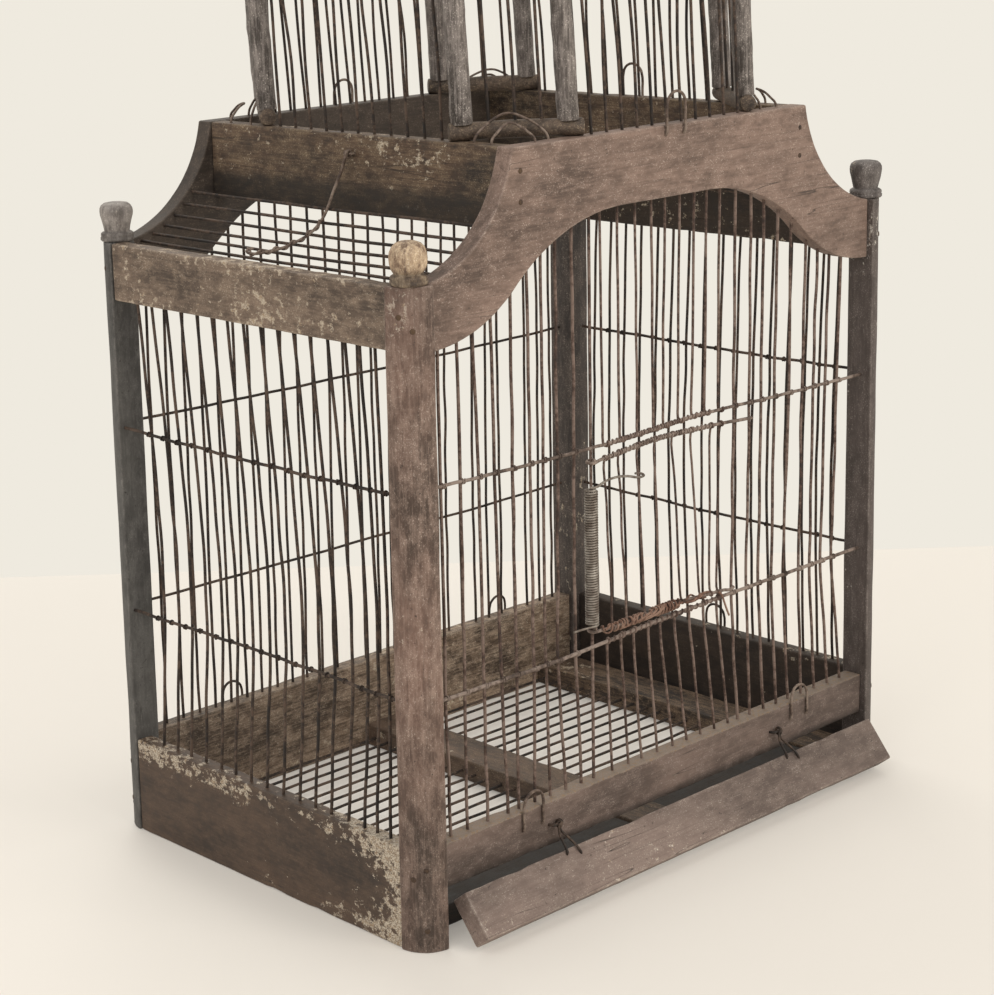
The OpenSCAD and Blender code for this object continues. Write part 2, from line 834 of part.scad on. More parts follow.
// legs of the hook's staple, driven into the left cross board
module staple_legs(g = 0) {
  for (s = [-1, 1])
    rod([hk_x + 2, hk_y + s * 3.2, hk_z], [-top_half + 8, hk_y + s * 3.2, hk_z], 1.6, g);
}

module hook_staple() {
  color("#4e453d") {
    staple_legs();
    rod([hk_x, hk_y - 1.2, hk_z], [hk_x, hk_y + 1.2, hk_z], 1.6);
    for (s = [-1, 1])
      translate([hk_x + 2, hk_y + s * 1.2, hk_z])
        rotate([0, 0, s > 0 ? 90 : 180])
          rotate_extrude(angle = 90) translate([2, 0]) circle(d = 1.6);
  }
}

module roof_hook() {
  rr = sh_r + 3.5 - wire_d / 2 - hook_r - 0.3;
  a0 = 36;
  a1 = 67;
  p0 = [-(sh_x - rr * cos(a0)), hk_y, sh_z - rr * sin(a0)];
  p1 = [-(sh_x - rr * cos(a1)), hk_y, sh_z - rr * sin(a1)];
  p2 = [-(sh_x - rr * cos(78)) - 1, hk_y + 16, sh_z - rr * sin(78) + 1.6];
  color("#6e5646") {
    translate([hk_x, hk_y, hk_z]) rotate([90, 0, 0]) ring(2, 2 * hook_r);
    rod([hk_x - 2, hk_y, hk_z - 0.5], p0, 2 * hook_r);
    translate(p0) sphere(r = hook_r + 0.03);
    translate([-sh_x, hk_y, sh_z])
      rotate([90, 0, 0])
        rotate([0, 0, -a1])
          rotate_extrude(angle = a1 - a0) translate([rr, 0]) circle(r = hook_r);
    translate(p1) sphere(r = hook_r + 0.03);
    rod(p1, p2, 2 * hook_r);
  }
}

front_left_post();
front_right_post();
back_left_post();
back_right_post();
front_left_knob();
front_right_knob();
back_left_knob();
back_right_knob();
front_rail();
back_board();
left_board();
right_board();
left_top_rail();
right_top_rail();
front_arch();
back_arch();
left_cross_board();
right_cross_board();
left_floor_bar();
right_floor_bar();
floor_wires();
front_wires();
back_wires();
left_wires();
right_wires();
front_tie_wires();
back_tie_wires();
left_tie_wires();
right_tie_wires();
roof_wires();
tray_flap();
flap_links();
flap_staples();
door_hinge_wire();
door_bars();
door_wires();
door_binding_wire();
door_spring();
door_spring_arm();
front_hoops();
back_hoops();
right_hoop();
top_hoops();
front_left_stick();
front_right_stick();
back_right_stick();
back_left_stick();
upper_sticks();
tower_posts();
tower_wires();
corner_straps();
tower_front_rail();
tower_back_rail();
tower_left_rail();
tower_right_rail();
tower_roof_wires();
roof_hook();
hook_staple();
nails();
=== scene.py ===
import math
import random

import bmesh
import bpy
from mathutils import Matrix, Vector, noise


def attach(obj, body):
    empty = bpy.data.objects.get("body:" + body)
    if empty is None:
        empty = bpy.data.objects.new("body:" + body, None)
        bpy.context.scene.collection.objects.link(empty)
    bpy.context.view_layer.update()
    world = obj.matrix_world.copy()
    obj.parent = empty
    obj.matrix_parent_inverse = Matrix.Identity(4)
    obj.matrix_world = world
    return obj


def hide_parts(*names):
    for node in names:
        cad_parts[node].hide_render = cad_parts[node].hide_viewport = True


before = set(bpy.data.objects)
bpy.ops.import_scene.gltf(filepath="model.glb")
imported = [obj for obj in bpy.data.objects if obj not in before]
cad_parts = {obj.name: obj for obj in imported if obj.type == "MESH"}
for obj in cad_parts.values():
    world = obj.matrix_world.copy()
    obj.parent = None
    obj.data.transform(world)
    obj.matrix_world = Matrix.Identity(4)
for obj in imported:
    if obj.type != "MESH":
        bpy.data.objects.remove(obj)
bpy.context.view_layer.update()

# Sizes in millimetres: posts, long boards, end boards, roof box, wires, door and tower
MM = 0.001
POST_IN_X, POST_IN_Y, POST_R, POST_TOP = 204.5, 126.5, 20.5, 397
KNOB_X, KNOB_Y = POST_IN_X + 8, POST_IN_Y + 8
BOARD_OUT_Y, BOARD_IN_Y, WIRE_Y = 142.5, 129.5, 136
END_OUT_X, END_IN_X, WIRE_X = 224, 211.5, 217.75
BASE_TOP, SLOT_TOP, END_RAIL_LOW = 64, 36, 360
TOP_Z, TOP_HALF, TOP_IN, CROWN_Z, FOOT_Z = 466, 136, 123.5, 422, 358
CROSS_LOW, CROSS_X = 417, (TOP_HALF + TOP_IN) / 2
TIE_LOW, TIE_HIGH = 152.5, 276
TIE_Y, TIE_X = WIRE_Y + 1.95, WIRE_X + 1.95
HINGE_X, DOOR_LOW = -65.5, 161
BAR_Y = -(WIRE_Y + 2.2)
TOWER_TOP = TOP_Z + 190
LEAN_X, LEAN_Y = -0.05, 0.02
FLOOR_BARS, BAR_HALF = (1.3, 182.5), 16.5
IN_TOP, IN_BASE = 4, 3  # how far the wires run into the boards above and below

# The long boards' curves: shoulder, rising arc and falling arc
SHOULDER = (219.76, 480.65, 85.04)
RISE_R, FALL_R, MEET_X, FLAT = 140.57, 102.84, 135.0, 40


def srgb(text):
    """Hex colour as written on screen to Blender's linear colour."""
    parts = [int(text[i : i + 2], 16) / 255 for i in (0, 2, 4)]
    return [c / 12.92 if c <= 0.04045 else ((c + 0.055) / 1.055) ** 2.4 for c in parts] + [1.0]


def hum(*key):
    """Smooth repeatable unevenness between about -1 and 1."""
    return noise.noise(Vector(key))


# Materials
def feed(tree, node, inputs):
    """Sets or links a node's inputs. Text is a hex colour."""
    for key, value in inputs.items():
        socket = node.inputs[key]
        if isinstance(value, bpy.types.NodeSocket):
            tree.links.new(value, socket)
        else:
            socket.default_value = srgb(value) if isinstance(value, str) else value


def add(tree, kind, inputs, out=0, stops=(), **settings):
    """Adds one node with its settings, its (place, colour) stops and its inputs, and gives one output."""
    node = tree.nodes.new("ShaderNode" + kind)
    for key, value in settings.items():
        setattr(node, key, value)
    marks = node.color_ramp.elements if stops else []
    while len(marks) < len(stops):
        marks.new(0.5)
    for mark, (place, colour) in zip(marks, stops):
        mark.position = place
        mark.color = srgb(colour) if isinstance(colour, str) else (colour, colour, colour, 1)
    feed(tree, node, inputs)
    return node.outputs[out] if len(node.outputs) else node


# What a node does: blend two colours, multiply, add, take the larger
BLEND = {"data_type": "RGBA", "out": 2}
TIMES, PLUS, LARGER = ({"operation": word} for word in ("MULTIPLY", "ADD", "MAXIMUM"))


def start(name):
    material = bpy.data.materials.new(name)
    material.use_nodes = True
    tree = material.node_tree
    return material, tree, tree.nodes["Principled BSDF"]


# The patterns of old wood: repeats in a metre across the grain, detail, roughness, share of that along it.
# Patches are about 40 mm wide, blots 7, fibres 1.3, grit 0.7, dots 2.4, checks 8 apart and paint flakes 6.
GRAIN = {"patch": (24.0, 5.0, 0.6, 0.4), "blot": (150.0, 8.0, 0.75, 0.5), "fibre": (760.0, 3.0, 0.65, 0.05),
         "grit": (1500.0, 1.0, 0.5, 0.7), "dots": (420.0, 2.0, 0.6, 1.0), "line": (120.0, 1.0, 0.5, 0.035),
         "flake": (170.0, 9.0, 0.74, 0.75)}
# the third colour is the near-black of the darkened zones, used for dirt and for painted shade
PIT, CHECK, SOOT_AND_SHADE, OCHRE = "1b1511", "17110d", "1f1914", "8a6d49"


def old_wood(name, along, dark, mid, light, pale="b5a797", mottle=0.55, streak=0.3, speck=0.6, grime=0.5,
             paint="cfc3ae", flakes=0.0, zones=(), soot=(), seed=0.0, shine=0.6, edge=0.5):
    """Softwood, sawn or turned, stained brown, then worn and handled for many years, so it looks dull, mottled
    and uneven. The grain runs along one axis. Zones are (axis, from, to, gain) in mm, where more of an older
    cream paint is left, and the other zones list those that are darkened: by dirt on some pieces, and as
    painted shade on others."""
    material, tree, shader = start(name)
    place = add(tree, "TexCoord", {}, "Object")
    seen = {}
    for shift, (key, (scale, detail, rough, squeeze)) in enumerate(GRAIN.items()):
        stretch = [1.0, 1.0, 1.0]
        stretch["XYZ".index(along)] = squeeze
        spot = add(tree, "Mapping", {"Vector": place, "Scale": stretch,
                                     "Location": (seed + shift, seed * 0.7, seed * 1.3 - shift)})
        seen[key] = add(tree, "TexNoise", {"Vector": spot, "Scale": scale, "Detail": detail,
                                           "Roughness": rough})
    patch, blot = seen["patch"], seen["blot"]
    level = {}
    for key, source, stops in (
            ("mottle", "blot", [(0.44, 0.0), (0.68, mottle)]), ("rubbed", "blot", [(0.42, 0.15), (0.62, 1.0)]),
            ("bright", "fibre", [(0.50, 0.0), (0.72, streak)]),
            ("shade", "fibre", [(0.28, streak), (0.48, 0.0)]),
            ("specks", "grit", [(0.60, 0.0), (0.70, speck)]), ("stain", "blot", [(0.30, 1.0), (0.46, 0.0)]),
            ("pits", "dots", [(0.25, 0.7), (0.33, 0.0)]), ("split", "patch", [(0.50, 0.0), (0.60, 0.8)]),
            ("line", "line", [(0.494, 0.0), (0.5, 1.0), (0.506, 0.0)]),
            ("worn", "grit", [(0.40, 0.0), (0.62, 0.8)]), ("ochre", "dots", [(0.54, 0.0), (0.62, 0.6)]),
            ("dirt_and_shade", "blot", [(0.3, 1.0), (0.75, 0.6)]),
            ("rough", "blot", [(0.3, shine), (0.7, min(0.95, shine + 0.25))])):
        level[key] = add(tree, "ValToRGB", {0: seen[source]}, stops=stops)
    # arrises paler over about 1.5 mm: rubbed by hands, and also a painted highlight along the edges
    rounded = add(tree, "Bevel", {"Radius": 0.0016}, samples=4)
    flat_on = add(tree, "NewGeometry", {}, "Normal")
    turned_by = add(tree, "VectorMath", {0: rounded, 1: flat_on}, "Value", operation="DOT_PRODUCT")
    rub = add(tree, "ValToRGB", {0: turned_by}, stops=[(0.86, edge), (0.985, 0.0)])
    # pale specks lie where the stain has rubbed off, and thin dark checks follow the grain
    pairs = {"rub": (rub, level["rubbed"]), "specks": (level["specks"], level["rubbed"]),
             "stain": (level["stain"], grime), "crack": (level["line"], level["split"])}
    cover = {key: add(tree, "Math", {0: a, 1: b}, **TIMES) for key, (a, b) in pairs.items()}
    layers = [(level["mottle"], light), (level["bright"], light), (level["shade"], dark),
              (cover["specks"], pale), (cover["stain"], dark), (level["pits"], PIT), (cover["rub"], pale),
              (cover["crack"], CHECK)]
    reliefs = [(blot, 0.5), (cover["crack"], -1.0)]
    parts = add(tree, "SeparateXYZ", {"Vector": place}).node.outputs
    if flakes > 0 or zones:
        # leftovers of the cream paint, in flakes a few millimetres wide
        part_patch = add(tree, "Math", {0: patch, 1: 0.6}, **TIMES)
        amount = add(tree, "Math", {0: seen["flake"], 1: part_patch}, **PLUS)
        for way, near, far, gain in zones:
            more = add(tree, "MapRange", {"Value": parts[way], "From Min": near * MM, "From Max": far * MM,
                                          "To Min": 0.0, "To Max": gain})
            amount = add(tree, "Math", {0: amount, 1: more}, **PLUS)
        limit = 0.98 - 0.14 * flakes
        left = add(tree, "ValToRGB", {0: amount}, stops=[(limit, 0.0), (limit + 0.03, 0.85)])
        tint = add(tree, "Mix", {0: level["worn"], 6: paint, 7: light}, **BLEND)
        layers.append((left, add(tree, "Mix", {0: level["ochre"], 6: tint, 7: OCHRE}, **BLEND)))
        reliefs.append((left, 0.6))
    # these zones darken the wood towards one end: with dirt on some pieces, and as painted shade on others
    for way, near, far, gain in soot:
        black = add(tree, "MapRange", {"Value": parts[way], "From Min": near * MM, "From Max": far * MM,
                                       "To Min": 0.0, "To Max": gain})
        layers.append((add(tree, "Math", {0: black, 1: level["dirt_and_shade"]}, **TIMES), SOOT_AND_SHADE))
    body = add(tree, "ValToRGB", {0: patch}, stops=[(0.36, dark), (0.60, mid)])
    for share, colour in layers:
        body = add(tree, "Mix", {0: share, 6: body, 7: colour}, **BLEND)
    height = add(tree, "Math", {0: seen["fibre"], 1: 0.4}, **TIMES)
    for source, share in reliefs:
        height = add(tree, "Math", {0: height, 1: add(tree, "Math", {0: source, 1: share}, **TIMES)}, **PLUS)
    bump = add(tree, "Bump", {"Height": height, "Distance": 0.0005, "Strength": 0.5})
    feed(tree, shader, {"Base Color": body, "Roughness": level["rough"], "Normal": bump})
    return material


def rusty_iron(name, dark, rust, pale, cover=0.5, rough=0.72):
    """Drawn soft iron wire, black from age, with rust blooms a few millimetres wide that dull it."""
    material, tree, shader = start(name)
    place = add(tree, "TexCoord", {}, "Object")
    bloom = add(tree, "TexNoise", {"Vector": place, "Scale": 300.0, "Detail": 6.0, "Roughness": 0.7})
    run = add(tree, "TexNoise", {"Vector": place, "Scale": 45.0, "Detail": 3.0})
    both = add(tree, "Math", {0: bloom, 1: add(tree, "Math", {0: run, 1: 0.8}, **TIMES)}, **PLUS)
    low = 0.98 - 0.3 * cover
    stops = [(low - 0.16, dark), (low, rust), (low + 0.16, pale)]
    feed(tree, shader, {
        "Base Color": add(tree, "ValToRGB", {0: both}, stops=stops), "Metallic": 0.15,
        "Roughness": add(tree, "ValToRGB", {0: bloom}, stops=[(0.3, rough - 0.15), (0.7, rough + 0.15)]),
        "Normal": add(tree, "Bump", {"Height": bloom, "Distance": 0.0003, "Strength": 0.5})})
    return material


def spring_steel(name):
    """Hard drawn spring wire, dull grey with brown tarnish in patches of about 6 mm."""
    material, tree, shader = start(name)
    place = add(tree, "TexCoord", {}, "Object")
    tarnish = add(tree, "TexNoise", {"Vector": place, "Scale": 160.0, "Detail": 5.0})
    stops = [(0.38, "6b6057"), (0.55, "918980"), (0.7, "aaa39a")]
    feed(tree, shader, {
        "Base Color": add(tree, "ValToRGB", {0: tarnish}, stops=stops), "Metallic": 0.55,
        "Roughness": add(tree, "ValToRGB", {0: tarnish}, stops=[(0.3, 0.6), (0.7, 0.42)])})
    return material


# Pine, by where it is: name, grain and three stain colours. Outer faces are worn to a mid brown, inner ones
# grimy and darker, the right end's boards near black as painted shade, the balls rubbed by hands, the
# branches bare and silvery.
WOOD = {
    "post": old_wood("stained_pine_post_front", "Z", "43342b", "735a4e", "9f897c", pale="c6b6a9",
        mottle=0.7, streak=0.35, speck=0.55, paint="c8baaa", zones=(("Z", 310, 392, 0.05),),
        soot=(("Z", 170, 0, 0.45), ("Z", 340, 397, 0.38)), seed=3.1),
    "post_left": old_wood("stained_pine_post_grey", "Z", "393735", "555350", "72706d", pale="918c86",
        mottle=0.55, streak=0.2, speck=0.4, seed=4.3),
    "post_back": old_wood("stained_pine_post_dark", "Z", "26201e", "433b37", "6a5f58", pale="a79c91",
        mottle=0.6, speck=0.9, flakes=0.2, seed=6.9),
    "post_right": old_wood("stained_pine_post_limewash", "Z", "3a322e", "4f4541", "6a605b", pale="b0a8a0",
        mottle=0.6, speck=0.6, paint="e2ddd3", zones=(("Z", 330, 385, 0.14), ("X", 214, 222, 0.14)),
        seed=5.7),
    "arch": old_wood("stained_pine_arch_front", "X", "4f3f36", "7e685c", "957f73", pale="bdada1",
        mottle=0.6, streak=0.35, speck=0.7, grime=0.75, edge=0.8, soot=(("X", 60, 200, 0.15),), seed=1.9),
    "arch_back": old_wood("grimy_pine_arch_back", "X", "2c2520", "41372f", "5c5047", pale="857769",
        edge=0.7, seed=2.7),
    "end_board": old_wood("flaking_stained_pine_base", "Y", "2c2018", "4c3a2d", "685546", pale="94846f",
        mottle=0.55, streak=0.2, speck=0.15, grime=0.7, paint="cfc3af", flakes=0.15, shine=0.5, edge=0.3,
        zones=(("Z", 40, 56, 0.12), ("Z", 60, 64, -0.04), ("Y", -50, -128, 0.18)), seed=7.3),
    # the right end's board and top rail are darkened throughout to paint the shade on their inner side
    "dark_board": old_wood("sooty_pine_base", "Y", "1e1814", "33281f", "4c3f35", pale="7c6f63", speck=0.3,
        grime=0.7, zones=(("Z", 52, 66, 0.06),), seed=8.8),
    "end_rail": old_wood("flaking_stained_pine_rail", "Y", "3a2e25", "6f5d4f", "94816f", pale="cabcaa",
        mottle=0.7, speck=0.5, flakes=0.75, grime=0.55, edge=0.8, paint="c3b6a2",
        zones=(("Z", 390, 398, 0.06),), seed=9.9),
    # the rail's darkened zones are painted shade: darker towards its lower edge, and towards its right end
    # where the light falls off
    "front_rail": old_wood("stained_pine_rail", "X", "463932", "6f5d54", "897870", pale="b9ada2",
        mottle=0.45, streak=0.2, speck=0.4, grime=0.3, edge=0.6, paint="7b6f5f",
        zones=(("Z", 62.6, 63.8, 0.45),), soot=(("Z", 41, 37, 0.8), ("X", 20, 200, 0.3)), seed=11.2),
    "inside": old_wood("grimy_pine_board", "X", "34281f", "836d59", "b59f89", pale="cfc1ad", mottle=0.8,
        streak=0.6, speck=0.9, flakes=0.5, grime=0.9, soot=(("X", 30, -70, 0.42), ("Y", 137, 142, 0.55)),
        seed=13.8),
    "inside_end": old_wood("grimy_pine_end_board", "Y", "30261d", "5a493d", "7d6856", pale="a19380",
        flakes=0.1, grime=0.7, seed=17.4),
    "rough_bar": old_wood("torn_pine_bar", "Y", "1d1611", "43352a", "77624f", pale="a38d72", mottle=0.8,
        streak=0.8, speck=0.9, flakes=0.3, grime=0.9, seed=18.6),
    # near-black strips that paint the shade behind the tray flap
    "shade_sill": old_wood("sooty_pine_strip", "X", "16110e", "261e18", "3a3028", pale="5a4f45", speck=0.3,
        grime=0.8, seed=12.6),
    # the cross boards' darkened zone below z 439 is a painted shadow cast on their lower part
    "cross": old_wood("grimy_pine_cross_board", "Y", "251b14", "4f3b2c", "7d6a54", pale="b3a48c",
        flakes=0.3, mottle=0.7, streak=0.45, grime=0.9, soot=(("Z", 439, 431, 1.0),), seed=15.2),
    "stick": old_wood("peeled_branch", "Z", "352e29", "68605b", "9b928c", pale="cac1b8", mottle=0.75,
        streak=0.7, speck=0.9, grime=0.7, seed=19.5),
    "cross_stick": old_wood("peeled_branch_short", "X", "251d17", "4f4137", "7d6b5a", pale="a9997f",
        streak=0.5, grime=0.8, seed=23.5),
    # the flap's darkened zone is painted shade: darker towards its right end, where the light falls off
    "flap": old_wood("stained_pine_flap", "X", "574942", "7e6c63", "94857b", pale="cdc1b5", mottle=0.45,
        grime=0.3, streak=0.2, speck=0.45, paint="d6cabb", flakes=0.25, edge=0.9,
        zones=(("X", 196, 203, 0.10),), soot=(("X", 0, 200, 0.28),), seed=29.1),
    "ball": old_wood("grey_turned_pine_ball", "Z", "47413d", "7e7772", "a7a09a", pale="cfc8c0", mottle=0.9,
        grime=0.9, flakes=0.25, soot=(("Z", 404, 402, 0.45),), seed=31.3),
    "dark_ball": old_wood("dark_turned_pine_ball", "Z", "352f2c", "5d5653", "87807c", pale="d0cac4",
        mottle=0.8, grime=0.8, flakes=0.2, seed=33.3),
    "ochre_ball": old_wood("ochre_turned_pine_ball", "Z", "4d3c33", "9d8166", "dac2a2", pale="ecdfc9",
        mottle=1.0, grime=1.0, flakes=0.2, soot=(("Z", 407, 402.5, 0.75),), seed=37.3),
}
# wire and nails, from nearly black to rusty: name and three colours
IRON = {
    "dark": rusty_iron("aged_iron_wire", "1c1613", "332821", "57473c", cover=0.3),
    "rust": rusty_iron("rusted_binding_wire", "34261e", "654637", "8c7060", cover=0.6),
    "brown": rusty_iron("browned_iron_wire", "332822", "5a4a40", "85766a", cover=0.5),
    # a lighter copy of the dark wire, which paints the light falling on the front wires
    "front": rusty_iron("lit_front_iron_wire", "2a211d", "4f3c33", "7c6a60", cover=0.5),
    "tie": rusty_iron("tie_iron_wire", "3b302a", "63544b", "8f8076", cover=0.5),
    "nail": rusty_iron("rusted_nail_head", "1f1814", "3c2c22", "54412f", cover=0.5),
    "spring": spring_steel("tarnished_spring_steel"),
}


# Making pieces
def link(name, data):
    """An object in the scene for a mesh, curve, lamp or camera."""
    thing = bpy.data.objects.new(name, data)
    bpy.context.scene.collection.objects.link(thing)
    return thing


def finish(name, mesh, material, body="cage", smooth=True):
    """A mesh in metres becomes a piece that rides on its body and stands for the node it is named after."""
    piece = link(name, mesh)
    mesh.materials.clear()
    mesh.materials.append(material)
    for face in mesh.polygons:
        face.use_smooth = smooth
    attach(piece, body)
    node = name.split(".")[0]
    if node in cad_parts:
        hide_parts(node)


def wire_piece(name, runs, material, body="cage", steps=4):
    """Drawn wires: each run is (diameter, points in mm), bent smoothly through its points."""
    curve = bpy.data.curves.new(name, "CURVE")
    curve.dimensions = "3D"
    curve.resolution_u = steps
    curve.bevel_depth = 0.5 * MM
    curve.bevel_resolution = 2
    curve.use_fill_caps = True
    for size, points in runs:
        spline = curve.splines.new("BEZIER")
        spline.bezier_points.add(len(points) - 1)
        for knot, point in zip(spline.bezier_points, points):
            knot.co = Vector(point) * MM
            knot.radius = size
            knot.handle_left_type = knot.handle_right_type = "AUTO"
    helper = link(name + ".path", curve)
    bpy.context.view_layer.update()
    solid = helper.evaluated_get(bpy.context.evaluated_depsgraph_get())
    mesh = bpy.data.meshes.new_from_object(solid)
    bpy.data.objects.remove(helper)
    mesh.name = name
    finish(name, mesh, IRON[material], body)


def wear(bm, low, high, seed, depth=0.7, reach=2.4):
    """Rubs and chips the arrises: points near an edge of the shape move inwards unevenly."""
    for v in bm.verts:
        p = v.co
        gaps = [min(p[i] - low[i], high[i] - p[i]) for i in range(3)]
        if sorted(gaps)[1] < reach:
            rub = 0.5 + 0.5 * hum(p[0] * 0.09 + seed, p[1] * 0.09, p[2] * 0.09)
            chip = max(0.0, hum(p[0] * 0.05, p[1] * 0.05 + seed, p[2] * 0.05) - 0.25) * 4
            for i in range(3):
                if gaps[i] < reach:
                    side = 1 if p[i] - low[i] < high[i] - p[i] else -1
                    v.co[i] += side * depth * (rub + chip) * 0.5


def slices(bm, axis, low, high, step, seed):
    """Cuts the shape across its length, so that its edges can waver."""
    draw = random.Random(seed)
    normal = [0, 0, 0]
    normal[axis] = 1
    place = low + step
    while place < high - 1:
        spot = Vector(normal) * (place + draw.uniform(-0.3, 0.3) * step)
        bmesh.ops.bisect_plane(bm, geom=bm.verts[:] + bm.edges[:] + bm.faces[:], dist=1e-5,
                               plane_co=spot, plane_no=normal)
        place += step


def soften(bm, edges, offset, clamp=False):
    bmesh.ops.bevel(bm, geom=edges, offset=offset, affect="EDGES", segments=2, profile=0.5, material=-1,
                    clamp_overlap=clamp)


def points_of(geom):
    return [g for g in geom if isinstance(g, bmesh.types.BMVert)]


def grow(bm, faces, shift):
    """Extrudes the faces by a shift."""
    made = bmesh.ops.extrude_face_region(bm, geom=faces)
    bmesh.ops.translate(bm, vec=shift, verts=points_of(made["geom"]))


def join(bm, part):
    """Moves a finished part into a larger shape."""
    helper = bpy.data.meshes.new("part")
    part.to_mesh(helper)
    part.free()
    bm.from_mesh(helper)
    bpy.data.meshes.remove(helper)


def close(bm, name):
    bmesh.ops.scale(bm, vec=(MM, MM, MM), verts=bm.verts)
    mesh = bpy.data.meshes.new(name)
    bm.to_mesh(mesh)
    bm.free()
    return mesh


def board(name, low, high, along, material, seed, body="cage", round_off=1.0, turn=None, bow=0.0):
    """Sawn board between two corners, its arrises rounded and worn, its lower edge bowed down."""
    bm = bmesh.new()
    bmesh.ops.create_cube(bm, size=1.0)
    size = [h - l for l, h in zip(low, high)]
    bmesh.ops.scale(bm, vec=size, verts=bm.verts)
    bmesh.ops.translate(bm, vec=[(l + h) / 2 for l, h in zip(low, high)], verts=bm.verts)
    soften(bm, bm.edges[:], round_off)
    axis = "XYZ".index(along)
    slices(bm, axis, low[axis], high[axis], 7, seed)
    wear(bm, low, high, seed)
    for v in bm.verts:
        if bow and v.co.z < low[2] + 6:
            v.co.z -= bow * math.cos(math.pi * v.co.x / (high[0] - low[0]))
    if turn:
        bmesh.ops.transform(bm, matrix=turn, verts=bm.verts)
    finish(name, close(bm, name), WOOD[material], body, smooth=False)


def sweep(bm, point, centre, degrees, steps, axis=(0, 1, 0)):
    """Draws an arc of edges from the given vertex round a centre, across the given axis."""
    made = bmesh.ops.spin(bm, geom=[point], cent=centre, axis=axis, angle=math.radians(degrees), steps=steps,
                          use_duplicate=False)
    return points_of(made["geom_last"])[0]


def angle_at(centre, x, z):
    return math.degrees(math.atan2(z - centre[2], x - centre[0]))


def sharp(bm, limit=0.9):
    """The edges where two faces meet at more than the limit in radians."""
    return [e for e in bm.edges if e.calc_face_angle(0) > limit]


def arch(name, near, far, material, seed):
    """Long fretted board: flat top, hollow shoulders, arch below."""
    bm = bmesh.new()
    top, corner = bm.verts.new((0, 0, TOP_Z)), bm.verts.new((TOP_HALF, 0, TOP_Z))
    bm.edges.new((top, corner))
    hollow = (SHOULDER[0], 0, SHOULDER[1])
    turn = angle_at(hollow, POST_IN_X, POST_TOP) - angle_at(hollow, TOP_HALF, TOP_Z)
    heel = sweep(bm, corner, hollow, -(turn % 360), 22)
    toe = bm.verts.new((POST_IN_X, 0, FOOT_Z))
    bm.edges.new((heel, toe))
    fall = (POST_IN_X, 0, FOOT_Z + FALL_R)
    meet_z = fall[2] - math.sqrt(FALL_R ** 2 - (POST_IN_X - MEET_X) ** 2)
    turn = angle_at(fall, POST_IN_X, FOOT_Z) - angle_at(fall, MEET_X, meet_z)
    meet = sweep(bm, toe, fall, turn % 360, 14)
    rise = (FLAT, 0, CROWN_Z - RISE_R)
    turn = angle_at(rise, FLAT, CROWN_Z) - angle_at(rise, meet.co.x, meet.co.z)
    crown = sweep(bm, meet, rise, -(turn % 360), 22)
    bm.edges.new((crown, bm.verts.new((0, 0, CROWN_Z))))
    bmesh.ops.mirror(bm, geom=bm.verts[:] + bm.edges[:], axis="X", merge_dist=0.01)
    bmesh.ops.remove_doubles(bm, verts=bm.verts, dist=0.01)
    bmesh.ops.contextual_create(bm, geom=bm.edges[:])
    for v in bm.verts:
        v.co.y = near
    grow(bm, bm.faces[:], (0, far - near, 0))
    bmesh.ops.recalc_face_normals(bm, faces=bm.faces)
    soften(bm, sharp(bm), 1.0, clamp=True)
    slices(bm, 0, -POST_IN_X, POST_IN_X, 9, seed)
    bmesh.ops.triangulate(bm, faces=[f for f in bm.faces if len(f.verts) > 4])
    for v in bm.verts:
        p = v.co
        if min(p.y - near, far - p.y) < 2.2:
            rub = 0.5 + 0.5 * hum(p.x * 0.09 + seed, p.y, p.z * 0.09)
            v.co.y += (0.45 if p.y < (near + far) / 2 else -0.45) * rub
    finish(name, close(bm, name), WOOD[material], smooth=False)


def post(name, sx, sy, material, seed):
    """Quarter round corner post with its arrises worn."""
    bm = bmesh.new()
    inner, first = bm.verts.new((0, 0, 0)), bm.verts.new((POST_R, 0, 0))
    bm.edges.new((inner, first))
    last = sweep(bm, first, (0, 0, 0), 90, 14, (0, 0, 1))
    bm.edges.new((last, inner))
    bmesh.ops.contextual_create(bm, geom=bm.edges[:])
    grow(bm, bm.faces[:], (0, 0, POST_TOP))
    bmesh.ops.scale(bm, vec=(sx, sy, 1), verts=bm.verts)
    bmesh.ops.translate(bm, vec=(sx * POST_IN_X, sy * POST_IN_Y, 0), verts=bm.verts)
    bmesh.ops.recalc_face_normals(bm, faces=bm.faces)
    soften(bm, sharp(bm), 1.0)
    slices(bm, 2, 0, POST_TOP, 8, seed)
    core = Vector((sx * KNOB_X, sy * KNOB_Y))
    for v in bm.verts:
        p = v.co
        rub = 0.5 + 0.5 * hum(p.x * 0.13, p.y * 0.13 + seed, p.z * 0.03)
        out = Vector((p.x, p.y)) - core
        if out.length > 9:
            v.co -= out.normalized().to_3d() * rub * 0.7
    finish(name, close(bm, name), WOOD[material], smooth=False)


def turned(name, centre, profile, material, seed):
    """Turned piece: a profile of (radius, height) points spun round its axis."""
    bm = bmesh.new()
    line = [bm.verts.new((r, 0, z)) for r, z in profile]
    rail = [bm.edges.new(pair) for pair in zip(line, line[1:])]
    bmesh.ops.spin(bm, geom=line + rail, cent=(0, 0, 0), axis=(0, 0, 1), angle=math.tau, steps=32,
                   use_merge=True)
    bmesh.ops.remove_doubles(bm, verts=bm.verts, dist=0.01)
    bmesh.ops.recalc_face_normals(bm, faces=bm.faces)
    for v in bm.verts:
        p = v.co
        v.co -= Vector((p.x, p.y, 0)) * 0.03 * (1 + hum(p.x * 0.2 + seed, p.y * 0.2, p.z * 0.2))
    bmesh.ops.translate(bm, vec=centre, verts=bm.verts)
    finish(name, close(bm, name), WOOD[material])


